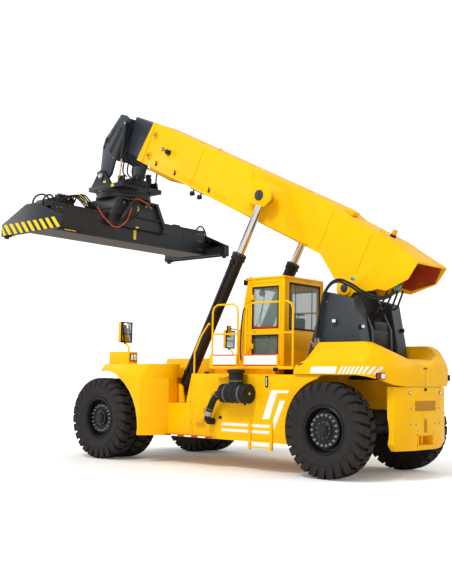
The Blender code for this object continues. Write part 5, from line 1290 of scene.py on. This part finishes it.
@dataclass
class SpreaderDetails:
    """What is fixed to the saddle, the main beam and the two arms."""

    centre: float = fy(TURNTABLE)

    def build(self) -> None:
        """Build every spreader detail."""
        self.saddle()
        self.beam()
        for side in Side:
            self.arm(side)

    def saddle(self) -> None:
        """Ribs, foot plates, marks, side-shift cylinder and hoses of the saddle."""
        c = self.centre
        rib = Piece("saddle_ribs", GREY, "carriage")
        for s in (1, -1):
            y = sorted((c + s * 0.60, c + s * 0.66))
            for t in (1, -1):
                rib.plate([(t * 0.60, 6.68), (t * 0.70, 6.68), (t * 1.07, 5.98), (t * 0.95, 5.98)], Axis.Y,
                          *y)
                x = sorted((t * 0.90, t * 1.12))
                rib.box((x[0], y[0], 5.90), (x[1], y[1], 5.98), 0.004)
            rib.box((-0.62, y[0], 6.62), (0.62, y[1], 6.68), 0.004)
            rib.box((-0.95, y[0], 6.20), (0.95, y[0] + 0.04 if s > 0 else y[1], 6.24), 0.004)
        rib.done()
        mark = Piece("saddle_marks", SIGNAL_YELLOW, "carriage")
        for s in (1, -1):
            y = c + s * 0.6008
            mark.box((-0.05, y - 0.0008, 6.38), (0.05, y + 0.0008, 6.60), 0.0)
            mark.box((-0.04, y - 0.0008, 5.915), (0.06, y + 0.0008, 5.955), 0.0)
        mark.done()
        bolts = Piece("saddle_bolts", ZINC, "carriage")
        for s in (1, -1):
            bolts.bolts([(x, c + s * 0.60, 6.55) for x in (-0.5, -0.3, 0.3, 0.5)], (0, s, 0), 0.015, 0.012)
        bolts.done()
        tube = Piece("side_shift_cylinder", GREY, "carriage")
        tube.bar((0.28, c + 0.72, 6.60), (0.66, c + 0.72, 6.08), 0.055, steps=28, bevel=0.008)
        tube.bar((0.66, c + 0.72, 6.08), (0.71, c + 0.72, 6.01), 0.035, steps=20)
        tube.done()
        hose = Piece("saddle_hoses", HOSE, "carriage")
        hose.tube([(0.22, c + 0.74, 6.60), (0.12, c + 0.80, 6.45), (0.20, c + 0.80, 6.22),
                   (0.46, c + 0.80, 6.06),
                   (0.62, c + 0.76, 6.04)], 0.021, 3)
        hose.tube([(0.30, c + 0.74, 6.66), (0.24, c + 0.83, 6.50), (0.30, c + 0.83, 6.26),
                   (0.52, c + 0.82, 6.10)],
                  0.018, 2)
        hose.done()
        orange = Piece("orange_hose", ORANGE_HOSE, "carriage")
        orange.tube([(0.30, c + 0.68, 6.64), (0.10, c + 0.72, 6.68), (-0.22, c + 0.72, 6.60),
                     (-0.42, c + 0.70, 6.50)],
                    0.016, 2)
        orange.tube([(0.31, c + 0.70, 6.62), (0.42, c + 0.78, 6.30), (0.64, c + 0.82, 5.96),
                     (0.98, c + 0.82, 5.80),
                     (1.30, c + 0.78, 5.98), (1.50, c + 0.70, 6.26)], 0.014, 2)
        orange.done()

    def beam(self) -> None:
        """Flanges, underside, valve block, fittings and hoses of the beam."""
        c = self.centre
        rail = Piece("beam_flanges", GREY, "spreader_beam")
        for s in (1, -1):
            y = sorted((c + s * 0.499, c + s * 0.504))
            for low, high in ((5.53, 5.56), (6.16, 6.218)):
                rail.box((-2.755, y[0], low), (2.755, y[1], high), 0.001)
            for x in (-2.74, -2.3, -1.85, 1.85, 2.3, 2.74):
                rail.box((x - 0.008, y[0], 5.54), (x + 0.008, y[1], 6.20), 0.0)
        for x in (-2.70, 2.70):
            rail.box((x - 0.055, c - 0.505, 6.19), (x + 0.055, c + 0.505, 6.235), 0.006)
        rail.done()
        # A lighter grey-brown sheet under the beam is painted light, standing for its lit lower flange.
        under = Piece("beam_underside", UNDERSIDE_PAINTED_LIGHT, "spreader_beam")
        under.box((-2.74, c - 0.48, 5.524), (2.74, c + 0.48, 5.531), 0.0)
        under.done()
        block = Piece("beam_valve_block", BLACK, "spreader_beam")
        block.box((1.95, c - 0.20, 6.22), (2.40, c + 0.34, 6.42), 0.012)
        block.box((2.44, c - 0.36, 6.22), (2.62, c + 0.40, 6.36), 0.010)
        block.box((-2.05, c - 0.20, 6.22), (-1.80, c + 0.20, 6.33), 0.010)
        for i in range(5):
            block.bar((2.0 + 0.09 * i, c + 0.10, 6.42), (2.0 + 0.09 * i, c + 0.10, 6.50), 0.022, steps=16,
                      bevel=0.003)
            block.box((1.975 + 0.09 * i, c + 0.16, 6.42), (2.025 + 0.09 * i, c + 0.28, 6.50), 0.004)
        block.done()
        zinc = Piece("beam_fittings", ZINC, "spreader_beam")
        for i in range(5):
            zinc.bar((2.0 + 0.09 * i, c + 0.34, 6.32), (2.0 + 0.09 * i, c + 0.40, 6.32), 0.017, steps=6)
            zinc.bar((2.0 + 0.09 * i, c + 0.22, 6.50), (2.0 + 0.09 * i, c + 0.22, 6.54), 0.015, steps=6)
        zinc.bolts([(x, c + y, 6.235) for x in (-2.70, 2.70) for y in (-0.42, -0.2, 0.2, 0.42)], (0, 0, 1),
                   0.014, 0.012)
        zinc.bolts([(x, c + 0.504, z) for x in (-2.62, -2.5, 2.5, 2.62) for z in (5.66, 5.9, 6.1)],
                   (0, 1, 0), 0.012, 0.01)
        zinc.done()
        hoses = Piece("beam_hoses", HOSE, "spreader_beam")
        for i in range(5):
            x = 2.36 - 0.09 * i
            hoses.tube([(x, c + 0.40, 6.32), (x - 0.02, c + 0.47, 6.38 + 0.02 * i),
                        (x - 0.24, c + 0.47, 6.46 + 0.02 * i),
                        (x - 0.52, c + 0.44, 6.38), (x - 0.70, c + 0.40, 6.28),
                        (x - 0.80, c + 0.36, 6.24)], 0.019, 2)
        for y in (-0.30, -0.22, 0.18, 0.26):
            hoses.tube([(-1.7, c + y, 6.232), (-1.0, c + y, 6.226)], 0.014, 2, False)
            hoses.tube([(1.0, c + y, 6.226), (2.0, c + y, 6.232)], 0.014, 2, False)
        hoses.tube([(2.60, c + 0.2, 6.30), (2.72, c + 0.1, 6.44), (2.84, c - 0.1, 6.38),
                    (2.86, c - 0.2, 6.12)], 0.022, 2)
        hoses.tube([(2.60, c + 0.36, 6.30), (2.72, c + 0.36, 6.40), (2.84, c + 0.3, 6.34),
                    (2.86, c + 0.24, 6.12)], 0.022, 2)
        hoses.tube([(-2.60, c + 0.3, 6.26), (-2.72, c + 0.36, 6.38), (-2.86, c + 0.40, 6.26),
                    (-2.88, c + 0.46, 6.0)], 0.022, 2)
        hoses.done()
        yellow = Piece("beam_yellow_hoses", SIGNAL_YELLOW, "spreader_beam")
        yellow.tube([(2.20, c + 0.40, 6.36), (2.05, c + 0.48, 6.50), (1.80, c + 0.48, 6.48),
                     (1.60, c + 0.44, 6.28)],
                    0.013, 2)
        for s in (1, -1):
            yellow.box((-0.05, c + s * 0.5048 - 0.0008, 5.62), (0.05, c + s * 0.5048 + 0.0008, 5.88), 0.0)
            yellow.box((2.0, c + s * 0.5048 - 0.0008, 5.562), (2.7, c + s * 0.5048 + 0.0008, 5.580), 0.0)
        yellow.done()

    def arm(self, side: Side) -> None:
        """Striped end plate, frame, lock drives and lock tips of one arm."""
        c, s = self.centre, side.value
        word = side.name.lower()
        body = f"{word}_arm"
        stripe = Piece(f"{word}_end_stripes", SIGNAL_YELLOW, body)
        x = sorted((s * 3.0302, s * 3.0314))
        for i in range(10):
            y = c - 1.19 + i * 0.245
            stripe.plate(self.clipped(y + 0.05, y + 0.18), Axis.X, *x, bevel=0.0)
        stripe.box((min(s * 2.70, s * 3.0), c - 1.14, 5.494), (max(s * 2.70, s * 3.0), c - 1.12, 5.52), 0.0)
        stripe.done()
        edge = Piece(f"{word}_end_frame", GREY, body)
        loop = [(s * 2.995, c + a, b) for a, b in ((1.2, 5.75), (0.22, 6.165), (-0.22, 6.165),
                                                   (-1.2, 5.75))]
        edge.tube(loop, 0.016, 2, False)
        for y in (-1.0, -0.5, 0.5, 1.0):
            edge.plate([(s * 2.80, 5.70), (s * 2.99, 5.70), (s * 2.99, 5.84 if abs(y) > 0.9 else 6.02)],
                       Axis.Y,
                       c + y - 0.01, c + y + 0.01, 0.001)
        for y in (-1.1295, 1.1295):
            edge.bar((s * 2.9265, c + y, 5.72), (s * 2.9265, c + y, 5.78), 0.075, 0.055, 24, 0.004)
            edge.box((s * 2.9265 - 0.10, c + y - 0.085, 5.452), (s * 2.9265 + 0.10, c + y + 0.085, 5.60),
                     0.014)
            edge.bar((s * 2.9265, c + y, 5.452), (s * 2.9265, c + y, 5.475), 0.085, 0.095, 28, 0.004)
        edge.done()
        dark = Piece(f"{word}_lock_drives", BLACK, body)
        for y in (-1, 1):
            dark.bar((s * 2.90, c + y * 1.0, 5.73), (s * 2.90, c + y * 0.50, 5.73), 0.035, steps=20,
                     bevel=0.004)
            dark.bar((s * 2.90, c + y * 0.50, 5.73), (s * 2.90, c + y * 0.34, 5.73), 0.018, steps=16)
            dark.box((s * 2.93 - 0.04, c + y * 1.06 - 0.06, 5.72),
                     (s * 2.93 + 0.04, c + y * 1.06 + 0.06, 5.80), 0.006)
            dark.tube([(s * 2.93, c + y * 1.05, 5.80), (s * 2.90, c + y * 0.85, 5.92),
                       (s * 2.90, c + y * 0.5, 5.92),
                       (s * 2.88, c + y * 0.30, 6.02)], 0.015, 2)
        dark.done()
        lock = Piece(f"{word}_lock_tips", STEEL, body)
        for y in (-1.1295, 1.1295):
            lock.bar((s * 2.9265, c + y, 5.425), (s * 2.9265, c + y, 5.46), 0.034, steps=20, bevel=0.003)
            lock.bar((s * 2.9265, c + y, 5.402), (s * 2.9265, c + y, 5.43), 0.020, 0.046, 4)
        lock.done()
        zinc = Piece(f"{word}_end_bolts", ZINC, body)
        zinc.bolts([(s * 2.9265 + dx, c + y, 5.78) for y in (-1.1295, 1.1295) for dx in (-0.03, 0.03)],
                   (0, 0, 1), 0.010, 0.01)
        zinc.done()

    def clipped(self, low: float, high: float) -> list[Flat]:
        """Give one slanted stripe, cut to the band along the end plate's foot."""
        c, lean, z0, z1 = self.centre, -0.24, 5.475, 5.745
        edge = 1.215
        line = [(low, z0), (high, z0), (high + lean, z1), (low + lean, z1)]
        return [(max(c - edge, min(c + edge, y)), z) for y, z in line]


# ---------------------------------------------------------------- underside
def build_underside() -> None:
    """Propeller shaft, gearbox and hoses beneath the frame, and the steering rods."""
    shaft = Piece("propeller_shaft", BLACK, "chassis")
    shaft.bar((0, fy(0.40), 1.02), (0, fy(4.60), 1.40), 0.055, steps=28)
    shaft.bar((0, fy(0.34), 1.015), (0, fy(0.46), 1.025), 0.10, steps=28, bevel=0.006)
    shaft.bar((0, fy(4.50), 1.385), (0, fy(4.62), 1.40), 0.10, steps=28, bevel=0.006)
    shaft.box((-0.26, fy(4.62), 1.10), (0.26, fy(5.10), 1.62), 0.04)
    shaft.done()
    line = Piece("frame_lines", HOSE, "chassis")
    for i in range(4):
        x = 0.305 - 0.03 * i
        line.tube([(x, fy(0.6), 1.50 + 0.04 * i), (x, fy(2.6), 1.52 + 0.04 * i),
                   (x, fy(4.3), 1.54 + 0.04 * i)], 0.013, 2)
    line.done()
    rods = Piece("steering_ram_rods", CHROME, "chassis")
    rods.bar((-0.80, fy(6.42), 0.95), (0.80, fy(6.42), 0.95), 0.04, steps=24)
    rods.done()
    pipes = sided("foot_hoses", HOSE)
    pipes.tube([(0.62, fy(1.95), 1.40), (0.74, fy(1.85), 1.55), (0.80, fy(1.72), 1.50),
                (0.70, fy(1.60), 1.38)], 0.02, 2)
    pipes.mirrored().done()


def build_cylinder_details() -> None:
    """Gland rings, ports, pipes and pin caps on the lift cylinders."""
    foot = LIFT_FOOT
    eye = boom_matrix() @ Vector((foot.x, *LIFT_PIN))
    along = (eye - foot).normalized()
    side = along.cross(Vector((1, 0, 0))).normalized()
    for s in Side:
        word, flip = s.name.lower(), Matrix.Diagonal((s.value, 1, 1, 1))

        def at(distance: float, x: float = 0.0, out: float = 0.0) -> Vector:
            """Give a place on this cylinder: along it, across x and out behind it."""
            return flip @ (foot + along * distance + Vector((x, 0, 0)) - side * out)

        glands = Piece(f"lift_{word}_glands", BLACK, f"lift_{word}_barrel")
        for d, r in ((3.35, 0.168), (3.45, 0.168), (0.24, 0.150)):
            glands.bar(at(d), at(d + 0.025), r, steps=40, bevel=0.003)
        glands.bar(at(0.5, 0.155), at(3.3, 0.155), 0.018, steps=16)
        port = Vector((0.03, 0.05, 0.05))
        for d in (3.28, 0.45):
            glands.box(at(d, 0.15) - port, at(d, 0.15) + port, 0.006)
        glands.done()
        bolts = Piece(f"lift_{word}_gland_bolts", ZINC, f"lift_{word}_barrel")
        turn = along.to_track_quat("Z", "Y").to_matrix()
        for x, y, z in ring((0, 0, 0), 0.128, 12, Axis.Z):
            base = foot + along * 3.491 + turn @ Vector((x, y, 0))
            bolts.bar(flip @ base, flip @ (base + along * 0.016), 0.012, steps=6)
        bolts.done()
        cap = Piece(f"lift_{word}_pin_cap", GREY, f"lift_{word}_rod")
        x = s.value * 1.13
        place = flip @ eye
        cap.bar((x - s.value * 0.004, place.y, place.z), (x + s.value * 0.018, place.y, place.z), 0.135,
                steps=8, bevel=0.004)
        cap.bolts([(x + s.value * 0.018, place.y + a, place.z + b) for a in (0.07, -0.07) for b in (0.07,
                                                                                                    -0.07)],
                  (s.value, 0, 0), 0.013, 0.01)
        cap.done()


def build_details() -> None:
    """Build everything that the CAD leaves out."""
    Markings().build()
    build_hood_details()
    build_side_details()
    build_air_cleaner_details()
    build_fender_details()
    build_deck_details()
    Cab().build()
    build_seat()
    BoomDressing().build()
    build_cylinder_details()
    build_head_details()
    build_turntable_details()
    SpreaderDetails().build()
    build_underside()


# ---------------------------------------------------------------- stage
@dataclass
class Studio:
    """Pale floor, soft lights and the camera."""

    focal_px: float = 882.7
    image: tuple[int, int] = (452, 584)
    middle: Flat = (230.9, 292.1)
    eye: Point = (15.94, 13.887, 1.908)
    yaw: float = 41.35
    pitch: float = -5.66
    roll: float = 0.957
    sky: float = 0.62

    def build(self) -> None:
        """Add the floor, lights, sky and camera."""
        scene = bpy.context.scene
        world = bpy.data.worlds.new("soft_sky")
        world.use_nodes = True
        tree = world.node_tree
        sky = tree.nodes["Background"]
        sky.inputs[0].default_value = (1.0, 1.0, 1.0, 1.0)
        seen = add(tree, "ShaderNodeLightPath").outputs["Is Camera Ray"]
        power = add(tree, "ShaderNodeMapRange", {"Value": seen, "To Min": self.sky, "To Max": 1.0})
        tree.links.new(power.outputs[0], sky.inputs[1])
        scene.world = world
        scene.view_settings.view_transform = "Standard"
        scene.view_settings.look = "Medium High Contrast"
        self.floor()
        self.light("key", (17.0, 4.0, 19.0), (0.0, 0.0, 3.5), 2300.0, 6.0)
        self.light("fill", (-14.0, 16.0, 12.0), (0.0, 1.0, 3.0), 450.0, 9.0)
        self.light("front", (6.0, -20.0, 10.0), (0.0, -2.0, 4.0), 450.0, 8.0)
        self.camera()

    def floor(self) -> None:
        """Lay a wide pale floor at the wheels' foot."""
        work = bmesh.new()
        bmesh.ops.create_grid(work, x_segments=1, y_segments=1, size=120.0)
        mesh = bpy.data.meshes.new("floor")
        work.to_mesh(mesh)
        work.free()
        mesh.materials.append(self.sweep(FLOOR.material()))
        floor = bpy.data.objects.new("floor", mesh)
        bpy.context.scene.collection.objects.link(floor)

    def sweep(self, material: bpy.types.Material) -> bpy.types.Material:
        """Let the floor run out into white with distance, like a studio's paper sweep."""
        tree = material.node_tree
        place = add(tree, "ShaderNodeTexCoord").outputs["Object"]
        reach = add(tree, "ShaderNodeVectorMath", {0: place}, operation="LENGTH").outputs["Value"]
        glow = add(tree, "ShaderNodeMapRange", {"Value": reach, "From Min": 3.5, "From Max": 12.0,
                                                "To Min": 0.08, "To Max": 0.9})
        seen = add(tree, "ShaderNodeLightPath").outputs["Is Camera Ray"]
        power = add(tree, "ShaderNodeMath", {0: glow.outputs[0], 1: seen}, operation="MULTIPLY")
        shader = next(n for n in tree.nodes if n.type == "BSDF_PRINCIPLED")
        shader.inputs["Emission Color"].default_value = (1.0, 1.0, 1.0, 1.0)
        tree.links.new(power.outputs[0], shader.inputs["Emission Strength"])
        return material

    def light(self, name: str, place: Point, aim: Point, power: float, size: float) -> None:
        """Add one square soft light that looks at a point."""
        lamp = bpy.data.lights.new(name, "AREA")
        lamp.energy, lamp.size = power, size
        obj = bpy.data.objects.new(name, lamp)
        obj.location = place
        obj.rotation_euler = (Vector(aim) - Vector(place)).to_track_quat("-Z", "Y").to_euler()
        bpy.context.scene.collection.objects.link(obj)

    def camera(self) -> None:
        """Place the camera behind the machine's left rear wheel."""
        yaw, pitch, roll = (math.radians(a) for a in (self.yaw, self.pitch, self.roll))
        ahead = Vector((-math.cos(yaw) * math.cos(pitch), -math.sin(yaw) * math.cos(pitch),
                        -math.sin(pitch)))
        right = ahead.cross(Vector((0, 0, 1))).normalized()
        up = right.cross(ahead)
        right, up = (math.cos(roll) * right + math.sin(roll) * up,
                     -math.sin(roll) * right + math.cos(roll) * up)
        data = bpy.data.cameras.new("camera")
        data.sensor_fit = "VERTICAL"
        data.sensor_height = 24.0
        data.lens = self.focal_px / self.image[1] * data.sensor_height
        data.shift_x = (self.image[0] / 2 - self.middle[0]) / self.image[1]
        data.shift_y = (self.middle[1] - self.image[1] / 2) / self.image[1]
        data.clip_end = 400.0
        obj = bpy.data.objects.new("camera", data)
        turn = Matrix((right, up, -ahead)).transposed().to_4x4()
        obj.matrix_world = Matrix.Translation(self.eye) @ turn
        bpy.context.scene.collection.objects.link(obj)
        bpy.context.scene.camera = obj


def main() -> None:
    """Build the whole visual model."""
    logging.basicConfig(level=logging.INFO, format="%(name)s %(message)s")
    for obj in list(bpy.data.objects):
        bpy.data.objects.remove(obj, do_unlink=True)
    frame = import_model()
    dress_cad(frame)
    build_wheels()
    build_details()
    Studio().build()


if __name__ == "__main__":
    main()
